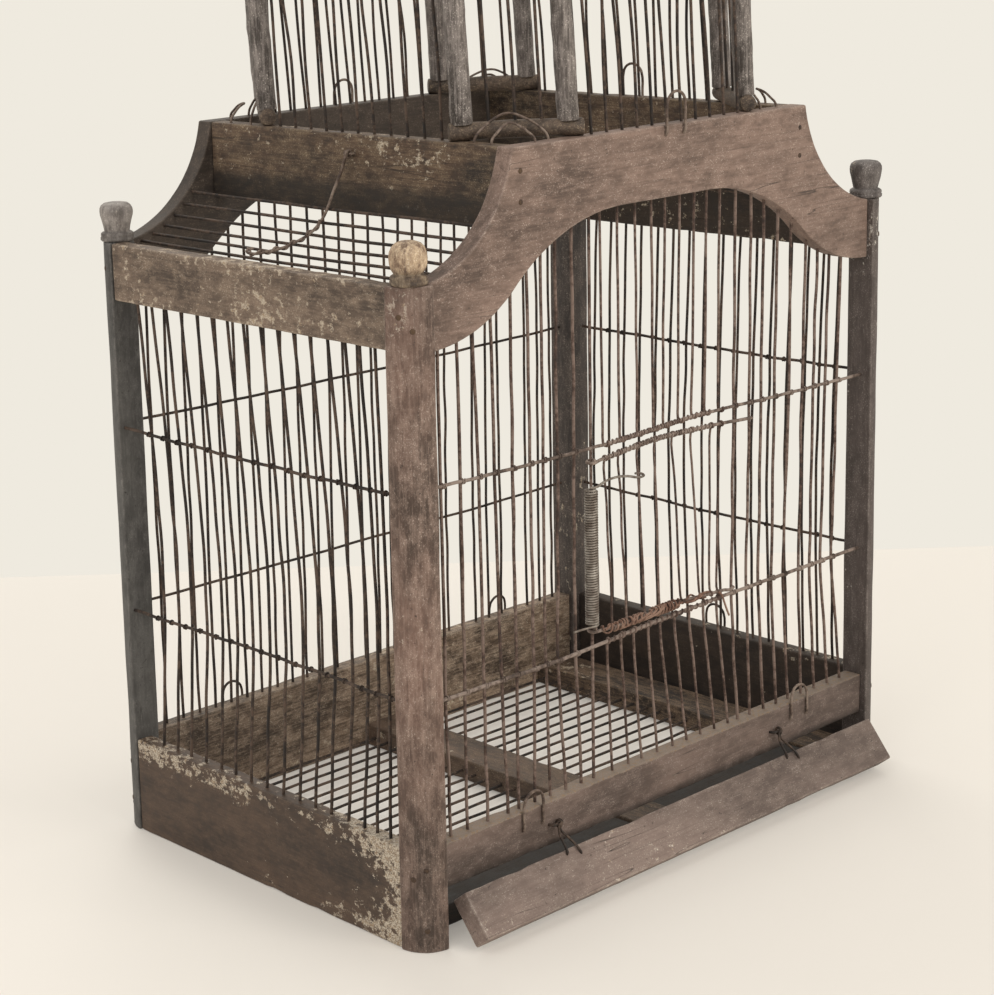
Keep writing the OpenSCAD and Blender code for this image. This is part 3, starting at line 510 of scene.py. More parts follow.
# Corner posts and their turned knobs
KNOB = [(0, -0.1), (10.3, 0.0), (11.2, 0.8), (11.2, 2.2), (10.6, 2.9), (11.0, 3.7), (10.7, 5.0), (9.6, 5.8),
        (8.3, 6.0), (8.4, 6.8), (9.0, 9.5), (10.0, 13.5), (10.7, 16.5), (11.0, 18.7), (10.8, 20.8),
        (9.9, 22.7), (8.0, 24.1), (5.4, 24.6), (0, 24.7)]
ROUND_KNOB = KNOB[:9] + [(8.7, 6.6), (10.0, 8.6), (11.0, 11.6), (11.4, 15.0), (11.0, 18.2), (9.8, 21.2),
                         (7.6, 23.4), (4.6, 24.5), (0, 24.8)]
for place, sx, sy, timber, outline, ball, seed in (
        ("front_left", -1, -1, "post", ROUND_KNOB, "ochre_ball", 2),
        ("front_right", 1, -1, "post_right", KNOB, "dark_ball", 3),
        ("back_left", -1, 1, "post_left", KNOB, "ball", 4),
        ("back_right", 1, 1, "post_back", KNOB, "dark_ball", 5)):
    post(place + "_post.worn", sx, sy, timber, seed)
    turned(place + "_knob.turned", (sx * KNOB_X, sy * KNOB_Y, POST_TOP), outline, ball, seed)

# Boards
board("front_rail.worn", (-POST_IN_X, -BOARD_OUT_Y, SLOT_TOP), (POST_IN_X, -BOARD_IN_Y, BASE_TOP), "X",
      "front_rail", 11, bow=1.3)
board("back_board.worn", (-POST_IN_X, BOARD_IN_Y, 0), (POST_IN_X, BOARD_OUT_Y, BASE_TOP), "X", "inside", 12)
for side, s, base, rail in (("left", -1, "end_board", "end_rail"), ("right", 1, "dark_board", "dark_board")):
    low, high = sorted((s * END_OUT_X, s * END_IN_X))
    board(side + "_board.worn", (low, -POST_IN_Y, 0), (high, POST_IN_Y, BASE_TOP), "Y", base, 20 + s,
          round_off=1.2)
    board(side + "_top_rail.worn", (low, -POST_IN_Y, END_RAIL_LOW), (high, POST_IN_Y, POST_TOP), "Y", rail,
          30 + s, round_off=1.2)
    low, high = sorted((s * TOP_HALF, s * TOP_IN))
    board(side + "_cross_board.worn", (low, -BOARD_IN_Y, CROSS_LOW), (high, BOARD_IN_Y, TOP_Z), "Y", "cross",
          40 + s)
for side, x, timber in zip(("left", "right"), FLOOR_BARS, ("inside_end", "rough_bar")):
    board(side + "_floor_bar.worn", (x - BAR_HALF, -POST_IN_Y, 1), (x + BAR_HALF, BOARD_IN_Y, 17), "Y",
          timber, 50 + int(x))
# low near-black strips between the floor bars, seen only as the dark band under the front rail: they paint the
# shade behind the flap
BAR_CLEAR = BAR_HALF + 0.2
for part, low, high in (("left", -END_IN_X, FLOOR_BARS[0] - BAR_CLEAR),
                        ("middle", FLOOR_BARS[0] + BAR_CLEAR, FLOOR_BARS[1] - BAR_CLEAR),
                        ("right", FLOOR_BARS[1] + BAR_CLEAR, END_IN_X)):
    board("front_strip_" + part + ".sooty", (low, -POST_IN_Y + 0.2, 1), (high, -104, 15), "X", "shade_sill",
          90 + len(part))
arch("front_arch.worn", -BOARD_OUT_Y, -BOARD_IN_Y, "arch", 61)
arch("back_arch.worn", BOARD_IN_Y, BOARD_OUT_Y, "arch_back", 62)

# The tray flap hangs open on its links
PIN = Vector((0, -146.0, 49.5))
swing = Matrix.Translation(PIN) @ Matrix.Rotation(math.radians(-38.8), 4, "X") @ Matrix.Translation(-PIN)
board("tray_flap.worn", (-197, -BOARD_OUT_Y, 3.5), (200.5, -BOARD_OUT_Y + 14.2, 34.2), "X", "flap", 71,
      body="flap", round_off=1.1, turn=swing)


# Nails: their heads lie in the round of the posts and in the faces of the long boards
def nail(bm, head, out, length):
    """Cut wire nail: a low round head, hammered flush, on a round shank that runs into the wood."""
    part = bmesh.new()
    bmesh.ops.create_cone(part, cap_ends=True, cap_tris=False, segments=16, radius1=1.8, radius2=1.55,
                          depth=0.9)
    soften(part, [e for e in part.edges if all(v.co.z > 0 for v in e.verts)], 0.35)
    under_head = max((f for f in part.faces if f.normal.z < -0.9), key=lambda f: f.calc_area())
    bmesh.ops.inset_region(part, faces=[under_head], thickness=0.7)
    grow(part, [under_head], (0, 0, -length))
    bmesh.ops.delete(part, geom=[under_head], context="FACES_ONLY")
    way = Vector((0, 0, 1)).rotation_difference(Vector(out)).to_matrix().to_4x4()
    seat = Matrix.Translation(Vector(head) - Vector(out) * 0.35)
    bmesh.ops.transform(part, matrix=seat @ way, verts=part.verts)
    bmesh.ops.recalc_face_normals(part, faces=part.faces)
    join(bm, part)


bm = bmesh.new()
for s in (-1, 1):
    ends = [(WIRE_Y * t, z, None) for t, z in ((-1, 46), (1, 20), (1, 46), (-1, 380), (1, 380))]
    sides = [(None, z, t) for t in (-1, 1) for z in (14, 52, 372)]
    for y, z, t in ends + sides:
        core = Vector((s * POST_IN_X, POST_IN_Y * (t or math.copysign(1, y)), z))
        if t is None:
            step = math.asin((WIRE_Y - POST_IN_Y) / POST_R)
            out = Vector((s * math.cos(step), math.copysign(math.sin(step), y), 0))
        else:
            step = math.asin((WIRE_X - POST_IN_X) / POST_R)
            out = Vector((s * math.sin(step), t * math.cos(step), 0))
        nail(bm, core + out * POST_R, out, 17)
    for t in (-1, 1):
        for z in (TOP_Z - 32, TOP_Z - 14):
            nail(bm, (s * CROSS_X, t * BOARD_OUT_Y, z), (0, t, 0), 26)
finish("nails.hammered", close(bm, "nails.hammered"), IRON["nail"])


# Wire work
def kinked(stations, seed, amount=0.4, step=26):
    """Points from station to station, with the small kinks of wire that was straightened by hand."""
    draw = random.Random(seed)
    points = [Vector(stations[0])]
    for a, b in zip(stations, stations[1:]):
        a, b = Vector(a), Vector(b)
        count = max(1, round((b - a).length / step))
        for k in range(1, count + 1):
            p = a.lerp(b, k / count)
            if k < count:
                p += Vector([draw.uniform(-amount, amount) for _ in range(3)])
            points.append(p)
    return points


def under(x):
    """Height of the long boards' lower edge."""
    x = abs(x)
    if x < FLAT:
        return CROWN_Z
    if x < MEET_X:
        return CROWN_Z - RISE_R + math.sqrt(RISE_R ** 2 - (x - FLAT) ** 2)
    return FOOT_Z + FALL_R - math.sqrt(max(0, FALL_R ** 2 - (POST_IN_X - x) ** 2))


def along(stations, x):
    """Height at x on a line through (x, height) stations."""
    for (a, low), (b, high) in zip(stations, stations[1:]):
        if x <= b:
            return low + (high - low) * (x - a) / (b - a)
    return stations[-1][1]


def wound(path, reach, pitch, first, last, loose=0.0, seed=0.0):
    """Points of a wire wound round a path, from one distance along it to another."""
    path = [Vector(p) for p in path]
    points = []
    gone = 0.0
    place = first
    for a, b in zip(path, path[1:]):
        way = b - a
        length = way.length
        way.normalize()
        side = way.cross(Vector((0.31, 0.2, 0.93))).normalized()
        over = side.cross(way)
        while place <= min(last, gone + length):
            turn = math.tau * place / pitch + loose * 2 * hum(place * 0.08, seed, 1.0)
            far = reach + loose * abs(hum(place * 0.11, seed, 5.0))
            points.append(a + way * (place - gone) + side * far * math.cos(turn) + over * far * math.sin(turn))
            place += pitch / 6
        gone += length
    return points


# heights of the two front tie wires, which sag and are pulled about by what is bound to them
HIGH_TIE = [(-208, 278.4), (-146, 277.3), (-70, 276.6), (-41, 276.9), (-11, 277.8), (29, 279.4), (54, 279.0),
            (116, 277.4), (208, 277.0)]
LOW_TIE = [(-208, 150.6), (-115, 149.3), (-83, 149.8), (-52, 151.0), (-20, 152.3), (1, 152.8), (31, 153.2),
           (48, 153.8), (97, 154.0), (208, 154.4)]

# places of the front wires at the top, the upper tie, the lower tie and the front rail
FRONT = [(-193, -193, -193, -191), (-178, -177, -177, -177), (-165, -162, -161, -160),
         (-150.5, -149, -146, -142.5), (-133.5, -134, -133, -133), (-120, -119, -118, -119),
         (-107.6, -107.6, -107.6, -105), (-95, -95, -97, -91), (-80.5, -80.5, -81, -77),
         (72.5, 71.5, 69.5, 77), (88, 87, 85, 89.5), (101, 99.5, 97.5, 104.5),
         (116, 113.5, 111.5, 118), (130, 129, 124, 131), (145.5, 143, 141, 145), (158, 155, 153, 160),
         (171, 168, 165, 175), (184, 181, 177, 189)]
# wires cut for the door: the place in the board and that on the tie, above the door and below it
CUT_HIGH = [(-56, -54.5), (-40, -39), (-24, -23), (-9, -7.6), (4, 1.8), (18, 16), (32, 29), (44, 42),
            (57, 55.5)]
CUT_LOW = [(-48, -52), (-32.5, -39), (-19.5, -27), (-4.5, -13), (11, -1.5), (25, 12.5), (39, 27), (53, 41),
           (67, 54.5)]
# a cut end hooks round its tie: steps along x, outwards and along z from where it meets the tie
HOOK_DOWN = ((0, 0, 2.6), (0.4, 0.4, -0.4), (0.9, 1.95, -1.5), (1.4, 3.35, -0.2), (1.8, 2.45, 1.4))
HOOK_UP = ((0, 0, -2.6), (-0.3, 0.4, 0.4), (-0.8, 1.95, 1.5), (-1.3, 3.35, 0.2), (-1.6, 2.65, -1.3))

runs = []
for k, (top, high, low, foot) in enumerate(FRONT):
    ties = [(top, -WIRE_Y, under(top) + IN_TOP), (high, -WIRE_Y, TIE_HIGH), (low, -WIRE_Y, TIE_LOW),
            (foot, -WIRE_Y, BASE_TOP - IN_BASE)]
    runs.append((2.0, kinked(ties, 100 + k)))
for pairs, line, hook, rise, seed in ((CUT_HIGH, HIGH_TIE, HOOK_DOWN, 8, 130),
                                      (CUT_LOW, LOW_TIE, HOOK_UP, -8, 160)):
    for k, (root, end) in enumerate(pairs):
        z = along(line, end)
        root_z = under(root) + IN_TOP if rise > 0 else BASE_TOP - IN_BASE
        straight = kinked([(root, -WIRE_Y, root_z), (end, -WIRE_Y, z + rise)], seed + k)
        runs.append((1.7, straight + [(end + x, -WIRE_Y - out, z + up) for x, out, up in hook]))
# the cut ends run on round the tie
lines = [[(x, -TIE_Y, along(tie, x)) for x in range(-208, 209, 8)] for tie in (HIGH_TIE, LOW_TIE)]
runs.append((1.0, wound(lines[0], 1.3, 4.2, 152, 254, 0.35, 1.0)))
runs.append((0.9, wound(lines[0], 1.25, 2.6, 164, 222, 0.3, 6.0)))
runs.append((1.0, wound(lines[1], 1.3, 5.0, 158, 262, 0.35, 2.0)))
wire_piece("front_wires.bent", runs, "front")

runs = []
for k in range(28):
    x = -191 + 382 / 27 * k
    sway = 3.0 * hum(k * 1.7, 4.1, 0.0)
    low = 2.5 * hum(k * 2.3, 8.1, 0.0)
    ties = [(x + low, WIRE_Y, under(x) + IN_TOP), (x + sway, WIRE_Y, TIE_HIGH),
            (x - sway * 0.7, WIRE_Y, TIE_LOW), (x + low * 0.5, WIRE_Y, BASE_TOP - IN_BASE)]
    runs.append((2.0, kinked(ties, 200 + k)))
wire_piece("back_wires.bent", runs, "dark")

# places of the left wires under the rail, counted from the middle towards the front
LEFT = [-110, -95.5, -81, -66, -50, -35.5, -20.5, -5.5, 10.5, 26, 40.5, 55, 70.5, 85.5, 98, 111]
# how far a left wire bulges, and its share of oddness, at each height
BULGE = ((END_RAIL_LOW + 4, 0, 0), (TIE_HIGH, 8.5, 0.6), (205, 13.5, 1.0), (TIE_LOW, 13, 0.7),
         (BASE_TOP - IN_BASE, 5, 0.2))
for name, s, bulge in (("left", -1, 1.0), ("right", 1, -0.35)):
    runs = []
    for k, place in enumerate(LEFT):
        tight = min(1.0, max(0.3, (122 - place) / 40)) if s < 0 else 1.0
        odd = 2.0 * hum(k * 1.9, 3.3 * s, 1.0)
        ties = [(s * WIRE_X, -(place + shift * bulge * tight + odd * share), z) for z, shift, share in BULGE]
        runs.append((2.0, kinked(ties, 240 + k + 20 * s)))
    wire_piece(name + "_wires.bent", runs, "dark")


def tie_wire(a, b, sag, seed, size):
    """Level tie wire between two posts: it sags a little and wavers up and down along its length."""
    a, b = Vector(a), Vector(b)
    points = []
    count = round((b - a).length / 9)
    for k in range(count + 1):
        t = k / count
        p = a.lerp(b, t)
        p.z += sag * math.sin(math.pi * t) + 0.7 * hum(seed, t * 14, 0.5) * (0 < k < count)
        points.append(p)
    return size, points


runs = []
for row, (line, size) in enumerate(zip(lines, (2.2, 2.4))):
    runs.append((size, [(x, y, z + 0.45 * hum(x * 0.11, z, 0.5)) for x, y, z in line]))
    for stations in FRONT:
        place = 208 + stations[1 + row]
        runs.append((0.9, wound(line, 1.45, 1.6, place - 1.4, place + 1.4)))
wire_piece("front_tie_wires.bent", runs, "tie")
TIE_END_X, TIE_END_Y = POST_IN_X + 3, POST_IN_Y + 3
runs = [tie_wire((-TIE_END_X, TIE_Y, z), (TIE_END_X, TIE_Y, z), sag, 7 * z, 2.0)
        for z, sag in ((TIE_HIGH, -1.5), (TIE_LOW, -1.0))]
wire_piece("back_tie_wires.bent", runs, "dark")
for name, s, bend in (("left", -1, (-1.5, 1.2)), ("right", 1, (-1.0, -1.5))):
    runs = []
    for z, sag in zip((TIE_HIGH, TIE_LOW), bend):
        size, line = tie_wire((s * TIE_X, TIE_END_Y, z), (s * TIE_X, -TIE_END_Y, z), sag, 5 * z + s, 2.1)
        runs.append((size, line))
        for place in LEFT:
            middle = TIE_END_Y + place + 8
            runs.append((0.9, wound(line, 1.4, 1.6, middle - 1.3, middle + 1.3)))
    wire_piece(name + "_tie_wires.bent", runs, "dark")

# floor wires, threaded through the two bars and bent aside between them
FLOOR_Z = 8
runs = []
for k in range(20):
    y = -120 + 240 / 19 * k
    bends = [(-END_IN_X - 3, 0), (FLOOR_BARS[0], 1.2 * hum(k * 1.3, 1.0, 0)), (92, 5.0 * hum(k * 1.7, 3.0, 0)),
             (FLOOR_BARS[1], 1.2 * hum(k * 1.3, 2.0, 0)), (END_IN_X + 3, 0)]
    runs.append((2.0, kinked([(x, y + aside, FLOOR_Z) for x, aside in bends], 300 + k, 0.3)))
wire_piece("floor_wires.bent", runs, "dark")


def on_shoulder(radius, degrees, y, sink=0.0):
    """Point at a distance from the centre of the left shoulder's curve."""
    turn = math.radians(degrees)
    return -(SHOULDER[0] - radius * math.cos(turn)), y, SHOULDER[1] - radius * math.sin(turn) - sink


ROOF_R = SHOULDER[2] + 3.5
runs = []
for s in (-1, 1):
    for k in range(6):
        turn = 41.5 + 6.7 * k
        spots = [on_shoulder(ROOF_R, turn, y, sink)
                 for y, sink in ((-BOARD_IN_Y - 3, 0), (0, 0.6), (BOARD_IN_Y + 3, 0))]
        runs.append((2.0, kinked([(-s * x, y, z) for x, y, z in spots], 330 + k, 0.4, 40)))
wire_piece("roof_wires.bent", runs, "dark")

# The sprung door
# places of its wires on the upper and the lower bar
DOOR = [(-55, -48.5), (-42, -35), (-24.5, -18), (-8, -3.5), (8.5, 17), (27, 35.5), (46.5, 46), (56, 53)]
# heights of the two door bars, bowed by use
HIGH_BAR = [(-70, 266.8), (-43, 269.2), (-12, 271.4), (7, 271.4), (34, 270.5), (50, 270.0), (92, 267.4)]
LOW_BAR = [(-70, 160.2), (-52, 158.8), (-31, 158.9), (-5, 159.5), (20, 160.2), (42, 158.6), (66, 157.4)]


def eye(centre, radius, turns, start, axis, size):
    """Points of a round eye bent in the end of a wire. It goes round the axis and moves along it by size."""
    points = []
    count = round(10 * turns)
    for k in range(count + 1):
        a = math.radians(start) + math.tau * turns * k / count
        c, s, on = radius * math.cos(a), radius * math.sin(a), size * k / count
        points.append(Vector(centre) + Vector({"Z": (c, s, on), "Y": (c, -on, s), "X": (on, c, s)}[axis]))
    return points


high = [(x, BAR_Y, along(HIGH_BAR, x) + 0.3 * hum(x * 0.1, 1, 1)) for x in range(-60, 92, 7)]
low = [(x, BAR_Y, along(LOW_BAR, x) + 0.3 * hum(x * 0.1, 9, 1)) for x in range(-60, 66, 7)]
tip = along(LOW_BAR, 64)
runs = [(2.2, eye((HINGE_X, -WIRE_Y, 268.4), 2.25, 1.0, -100, "Z", -1.6) + high),
        (2.2, eye((HINGE_X, -WIRE_Y, 161.6), 2.25, 1.0, -100, "Z", -1.9) + low
         + [(67, BAR_Y - 0.4, tip - 0.5), (68.5, BAR_Y - 0.8, tip + 1.0)]),
        (1.0, wound(high, 1.35, 4.0, 3, 108, 0.4, 3.0)), (0.9, wound(high, 1.3, 2.4, 30, 84, 0.35, 8.0))]
wire_piece("door_bars.bent", runs, "tie", "door")

runs = []
for k, (top, foot) in enumerate(DOOR):
    z, base = along(HIGH_BAR, top), along(LOW_BAR, foot)
    head = eye((top - 0.5, BAR_Y, z), 1.4, 0.95, -60, "X", 1.1)
    tail = eye((foot - 0.5, BAR_Y, base), 1.4, 0.95, 60, "X", 1.1)
    middle = kinked([(top + 0.6, BAR_Y + 1.5, z - 3), (foot + 0.6, BAR_Y + 1.5, base + 3)], 360 + k)
    runs.append((1.5, head + middle + tail[::-1]))
wire_piece("door_wires.bent", runs, "front", "door")

# rusty binding: a bundle of strands along the lower bar, lashed in the middle, one end hanging.
# Each strand is (reach, pitch, first, last, loose, seed, size).
STRANDS = [(1.7, 46.0, 2, 112, 0.9, 0.0, 1.5), (1.9, 31.0, 8, 98, 0.9, 3.0, 1.4),
           (2.2, 38.0, 14, 106, 0.9, 6.0, 1.3), (2.5, 52.0, 40, 100, 0.9, 9.0, 1.4),
           (2.4, 27.0, 5, 60, 0.9, 12.0, 1.3), (2.3, 9.0, 0, 75, 0.9, 15.0, 1.2),
           (2.9, 3.1, 50, 72, 0.5, 2.0, 1.3), (2.6, 4.4, 12, 40, 0.8, 9.0, 1.2)]
runs = [(size, wound(low, *lay)) for *lay, size in STRANDS]
runs.append((1.4, [(52, BAR_Y - 1.6, 158.5), (54, BAR_Y - 2.2, 156.5), (57, BAR_Y - 2.1, 151),
                   (60, BAR_Y - 2.3, 144), (62, BAR_Y - 2.2, 140.5)]))
wire_piece("door_binding_wire.wound", runs, "rust", "door", steps=2)

# door spring: a lead to the next wire, then the coil round the hinge wire, with an arm that lies on the door
TURNS, TURN_STEPS, COIL_R, COIL_LONG = 53, 14, 3.6, 86.1
COIL_Z = DOOR_LOW + 3
coil = [(-84.5, -138.2, COIL_Z), (-77.5, -138.3, COIL_Z), (-71.5, -139.1, COIL_Z), (-68.3, -139.5, COIL_Z)]
for k in range(TURNS * TURN_STEPS + 1):
    a = math.radians(-90) + math.tau * k / TURN_STEPS
    coil.append((HINGE_X + COIL_R * math.cos(a), -WIRE_Y + COIL_R * math.sin(a),
                 COIL_Z + COIL_LONG / TURNS * k / TURN_STEPS))
wire_piece("door_spring.coil", [(1.45, coil)], "spring", steps=2)
ARM_Z = COIL_Z + 88
arm = [(HINGE_X - 3, -137.5, 0), (HINGE_X - 0.5, -139.8, 0), (-58, -139.4, 1.6), (-48, -139.4, 2.6),
       (-36, -139.6, 1.2), (-27, -139.9, -1.2), (-22, -139.8, -1.6), (-19.6, -138.2, -1.2),
       (-21, -136.6, -0.4), (-25, -136.2, 0.2)]
arm = [(x, y, ARM_Z + z) for x, y, z in arm]
wire_piece("door_spring_arm.bent", [(1.6, arm)], "spring", "door")
hinge = [(HINGE_X, -WIRE_Y, z) for z in (BASE_TOP - IN_BASE, 240, under(HINGE_X) + IN_TOP)]
wire_piece("door_hinge_wire.bent", [(2.0, hinge)], "front")


# Loops, straps and hook
def loop(x, y, foot, top, out, lean):
    """Wire loop: spikes into the board, legs up, round head. Out is the way it faces in X and Y."""
    across = Vector((-out[1], out[0], 0))
    inward = Vector((-out[0], -out[1], 0))
    half = 8.5
    legs = [[Vector((x, y, foot + up)) + across * side * half + inward * deep
             for up, deep in ((0, 6), (0, 1.2), (1.5, 0), (7, 0))] for side in (-1, 1)]
    head = []
    for k in range(1, 8):
        a = math.pi * k / 8
        head.append(Vector((x, y, top - half + half * math.sin(a)))
                    + across * (lean * math.sin(a) - half * math.cos(a)))
    return 1.8, legs[0] + head + legs[1][::-1]


HOOP_Y, FRONT_WAY, BACK_WAY, RIGHT_WAY = BOARD_OUT_Y + 1.0, (0, -1), (0, 1), (1, 0)
wire_piece("front_hoops.bent", [loop(-128, -HOOP_Y, 52, 75.3, FRONT_WAY, 0.8),
                                loop(133.5, -HOOP_Y, 52, 75.0, FRONT_WAY, -0.8)], "brown")
wire_piece("back_hoops.bent", [loop(-127, HOOP_Y, 52, 75.2, BACK_WAY, 1.0),
                               loop(137, HOOP_Y, 52, 75.2, BACK_WAY, -1.0)], "dark")
wire_piece("right_hoop.bent", [loop(END_OUT_X + 1, 2, 53, 78.2, RIGHT_WAY, 0.5)], "dark")
wire_piece("top_hoops.bent", [loop(5.8, -HOOP_Y, 460, 486, FRONT_WAY, 0.6),
                              loop(-5.8, HOOP_Y, 460, 482, BACK_WAY, -0.6),
                              loop(TOP_HALF + 1, 4, 460, 487, RIGHT_WAY, 0.6)], "brown")

# links of the tray flap, in staples of the front rail
runs, holds = [], []
for x in (-109, 107.5):
    ring = eye((x, PIN.y, PIN.z), 2.2, 1.0, 200, "X", 0.8)
    drop = [(-1.6, -139, 30.8), (-1.7, -142.8, 31.4), (-1.7, -143.7, 34), (-1.6, -143.9, 39),
            (-1.2, PIN.y + 1.4, 45)]
    leg = [(0.6, PIN.y + 1.2, PIN.z - 2.6), (4.4, -143.4, 40), (8.4, -143.2, 29.5), (9.2, -141.5, 28),
           (9.2, -136, 28)]
    drop, leg = ([Vector((x + step, y, z)) for step, y, z in part] for part in (drop, leg))
    runs.append((1.6, [swing @ p for p in drop + ring + leg]))
    staple = [(-4.4, -BOARD_IN_Y - 6, 49.2), (-4.4, -BOARD_OUT_Y - 1.2, 49.2), (-3.4, PIN.y + 0.1, 49.4),
              (0, PIN.y - 0.1, 49.5), (3.4, PIN.y + 0.1, 49.6), (4.4, -BOARD_OUT_Y - 1.2, 49.8),
              (4.4, -BOARD_IN_Y - 6, 49.8)]
    holds.append((1.8, [(x + step, y, z) for step, y, z in staple]))
wire_piece("flap_links.bent", runs, "dark", "flap")
wire_piece("flap_staples.bent", holds, "dark")


# The roof tower
def above(p, z):
    """Point over p at height z, along the lean of the tower."""
    return Vector((p[0] + LEAN_X * (z - TOP_Z), p[1] + LEAN_Y * (z - TOP_Z), z))


# the tower's corner posts stand in pairs, at the ends of the branch across each corner
NEAR_A, NEAR_B, RIGHT_A, RIGHT_B = (Vector(p) for p in ((-127, -94), (-76, -131), (88, -131), (128, -81)))
CORNERS = {"front_left": (NEAR_A, NEAR_B), "front_right": (RIGHT_A, RIGHT_B), "back_right": (-NEAR_A, -NEAR_B),
           "back_left": (-RIGHT_A, -RIGHT_B)}


def branch(bm, a, b, size, seed):
    """Peeled branch from a to b: uneven girth, low knots and a slight bend, its ends sawn."""
    a, b = Vector(a), Vector(b)
    length = (b - a).length
    part = bmesh.new()
    bmesh.ops.create_cone(part, cap_ends=True, cap_tris=False, segments=16, radius1=size / 2, radius2=size / 2,
                          depth=length)
    bmesh.ops.translate(part, vec=(0, 0, length / 2), verts=part.verts)
    soften(part, sharp(part, 1.0), 0.8)
    slices(part, 2, 1, length - 1, 6, seed)
    for v in part.verts:
        turn = math.atan2(v.co.y, v.co.x)
        c, s, z = math.cos(turn), math.sin(turn), v.co.z
        uneven = hum(c * 1.3 + seed, s * 1.3, z * 0.04) + hum(c * 2.5, s * 2.5 + seed, z * 0.16)
        girth = 0.95 + 0.05 * uneven
        knot = max(0.0, hum(c * 0.9 + seed * 3, s * 0.9, z * 0.09) - 0.35) * 0.25
        bend = math.sin(math.pi * z / length) * 0.9
        v.co.x = v.co.x * (girth + knot) + bend * hum(seed, z * 0.012, 1.0)
        v.co.y = v.co.y * (girth + knot) + bend * hum(seed, z * 0.012, 7.0)
    turn = Vector((0, 0, 1)).rotation_difference(b - a).to_matrix().to_4x4()
    bmesh.ops.transform(part, matrix=Matrix.Translation(a) @ turn, verts=part.verts)
    join(bm, part)


def branches(name, rods, material, seed):
    bm = bmesh.new()
    for k, (a, b, size) in enumerate(rods):
        branch(bm, a, b, size, seed + k)
    finish(name, close(bm, name), WOOD[material])


# the short branches run on past the posts at both ends
STICK, STICK_PAST, POST_STICK = 11.3, 8.5, 13.4
rods = [(above(p, TOP_Z + 9.4), above(p, TOWER_TOP - 9.4), POST_STICK)
        for pair in CORNERS.values() for p in pair]
branches("tower_posts.peeled", rods, "stick", 81)
rods = []
for k, (corner, (a, b)) in enumerate(CORNERS.items()):
    u = (b - a).normalized() * STICK_PAST
    low = (Vector((*(a - u), TOP_Z + 5.4)), Vector((*(b + u), TOP_Z + 5.4)), STICK)
    branches(corner + "_stick.peeled", [low], "cross_stick", 91 + k)
    foot, head = above(a, TOWER_TOP - 5.6), above(b, TOWER_TOP - 5.6)
    u = (head - foot).normalized() * STICK_PAST
    rods.append((foot - u, head + u, STICK))
branches("upper_sticks.peeled", rods, "cross_stick", 97)

runs = []
draw = random.Random(7)
feet = []
for k in range(1, 12):
    p = NEAR_B.lerp(RIGHT_A, k / 12)
    q = NEAR_A.lerp(-RIGHT_B, k / 12)
    feet += [(p.x, -WIRE_Y), (-p.x, WIRE_Y), (-CROSS_X, q.y), (CROSS_X, -q.y)]
for k, p in enumerate(feet):
    a, b = draw.uniform(-1.3, 1.3), draw.uniform(-2.6, 2.6)
    c, d = draw.uniform(-0.8, 0.8), draw.uniform(-2.0, 2.0)
    side = (0, 1) if abs(p[0]) > TOP_HALF - 7 else (1, 0)
    points = [above((p[0] + side[0] * shift, p[1] + side[1] * shift), TOP_Z + z)
              for shift, z in ((0, -3), (0, 4), (a, 42), (b, 88), (d, 135), (c, 182), (0, 193))]
    runs.append((2.0, kinked(points, 400 + k, 0.25, 40)))
for a, b in CORNERS.values():
    for k in (1, 2, 3):
        points = [above(a.lerp(b, k / 4), z) for z in (TOP_Z + 6, TOP_Z + 95, TOWER_TOP - 6)]
        runs.append((2.0, kinked(points, 460 + k, 0.5, 40)))
wire_piece("tower_wires.bent", runs, "dark")

# straps over the corner branches: where each starts and ends along the branch, how far out its feet and its
# peak lie, and the height of the peak. A step of its bend is (foot, share of the way to the peak, height).
LONG_STRAP = ((5, 48, 10.8, 3, 15.4), (13, 38, 23, 14, 10.8))
RIGHT_STRAP = ((5, 59, 10.8, 3, 15.4), (14, 42, 23, 14, 10.8))
runs = []
for s in (1, -1):
    for a, b, spans in ((NEAR_A, NEAR_B, LONG_STRAP), (RIGHT_A, RIGHT_B, RIGHT_STRAP)):
        u = (b - a).normalized() * s
        n = Vector((u.y, -u.x))
        for first, last, foot_out, peak_out, peak_z in spans:
            feet = [a * s + u * t + n * foot_out for t in (first, last)]
            peak = a * s + u * (first + last) / 2 + n * peak_out
            bend = [(0, 0, -4), (0, 0, 2), (0, 0.28, 0.55 * peak_z), (0, 0.62, 0.86 * peak_z), (0, 1, peak_z),
                    (1, 0.62, 0.84 * peak_z), (1, 0.25, 0.52 * peak_z), (1, 0, 2), (1, 0, -4)]
            points = [Vector((*feet[end].lerp(peak, share), TOP_Z + z)) for end, share, z in bend]
            runs.append((1.6, kinked(points, int(470 + first + peak_z + s), 0.3, 60)))
wire_piece("corner_straps.bent", runs, "brown")

# the long hook hangs from the left cross board and lies on the roof wires
HOOK, HOOK_R = Vector((-139.1, -6, 454)), SHOULDER[2] + 1.26
path = [(-143.2, -4.8, 444), (-146.6, -3.4, 436)]
path += [on_shoulder(HOOK_R, turn, y)
         for turn, y in ((36, -3.2), (42, -5.2), (50, -7.0), (57, -5.8), (62, -2.0), (67, 2.8))]
path += [(-194.5, 7.2, 399.6), (-201.0, 9.5, 398.9), (-204.3, 13.4, 399.4), (-202.6, 16.6, 400.6),
         (-198.6, 16.2, 401.2)]
wire_piece("roof_hook.bent", [(1.9, eye(HOOK, 2.1, 1.1, 120, "Y", 1.4) + path),
                              (1.3, wound(path, 1.4, 11.0, 36, 92, 0.3, 4.0))], "brown", "hook")
bow = [(3.1 + 6, -3.2), (2, -3.2), (0.6, -2.6), (0, -1.2), (0, 1.2), (0.6, 2.6), (2, 3.2), (3.1 + 6, 3.2)]
wire_piece("hook_staple.bent", [(1.6, [(HOOK.x + x, HOOK.y + y, HOOK.z) for x, y in bow])], "brown")

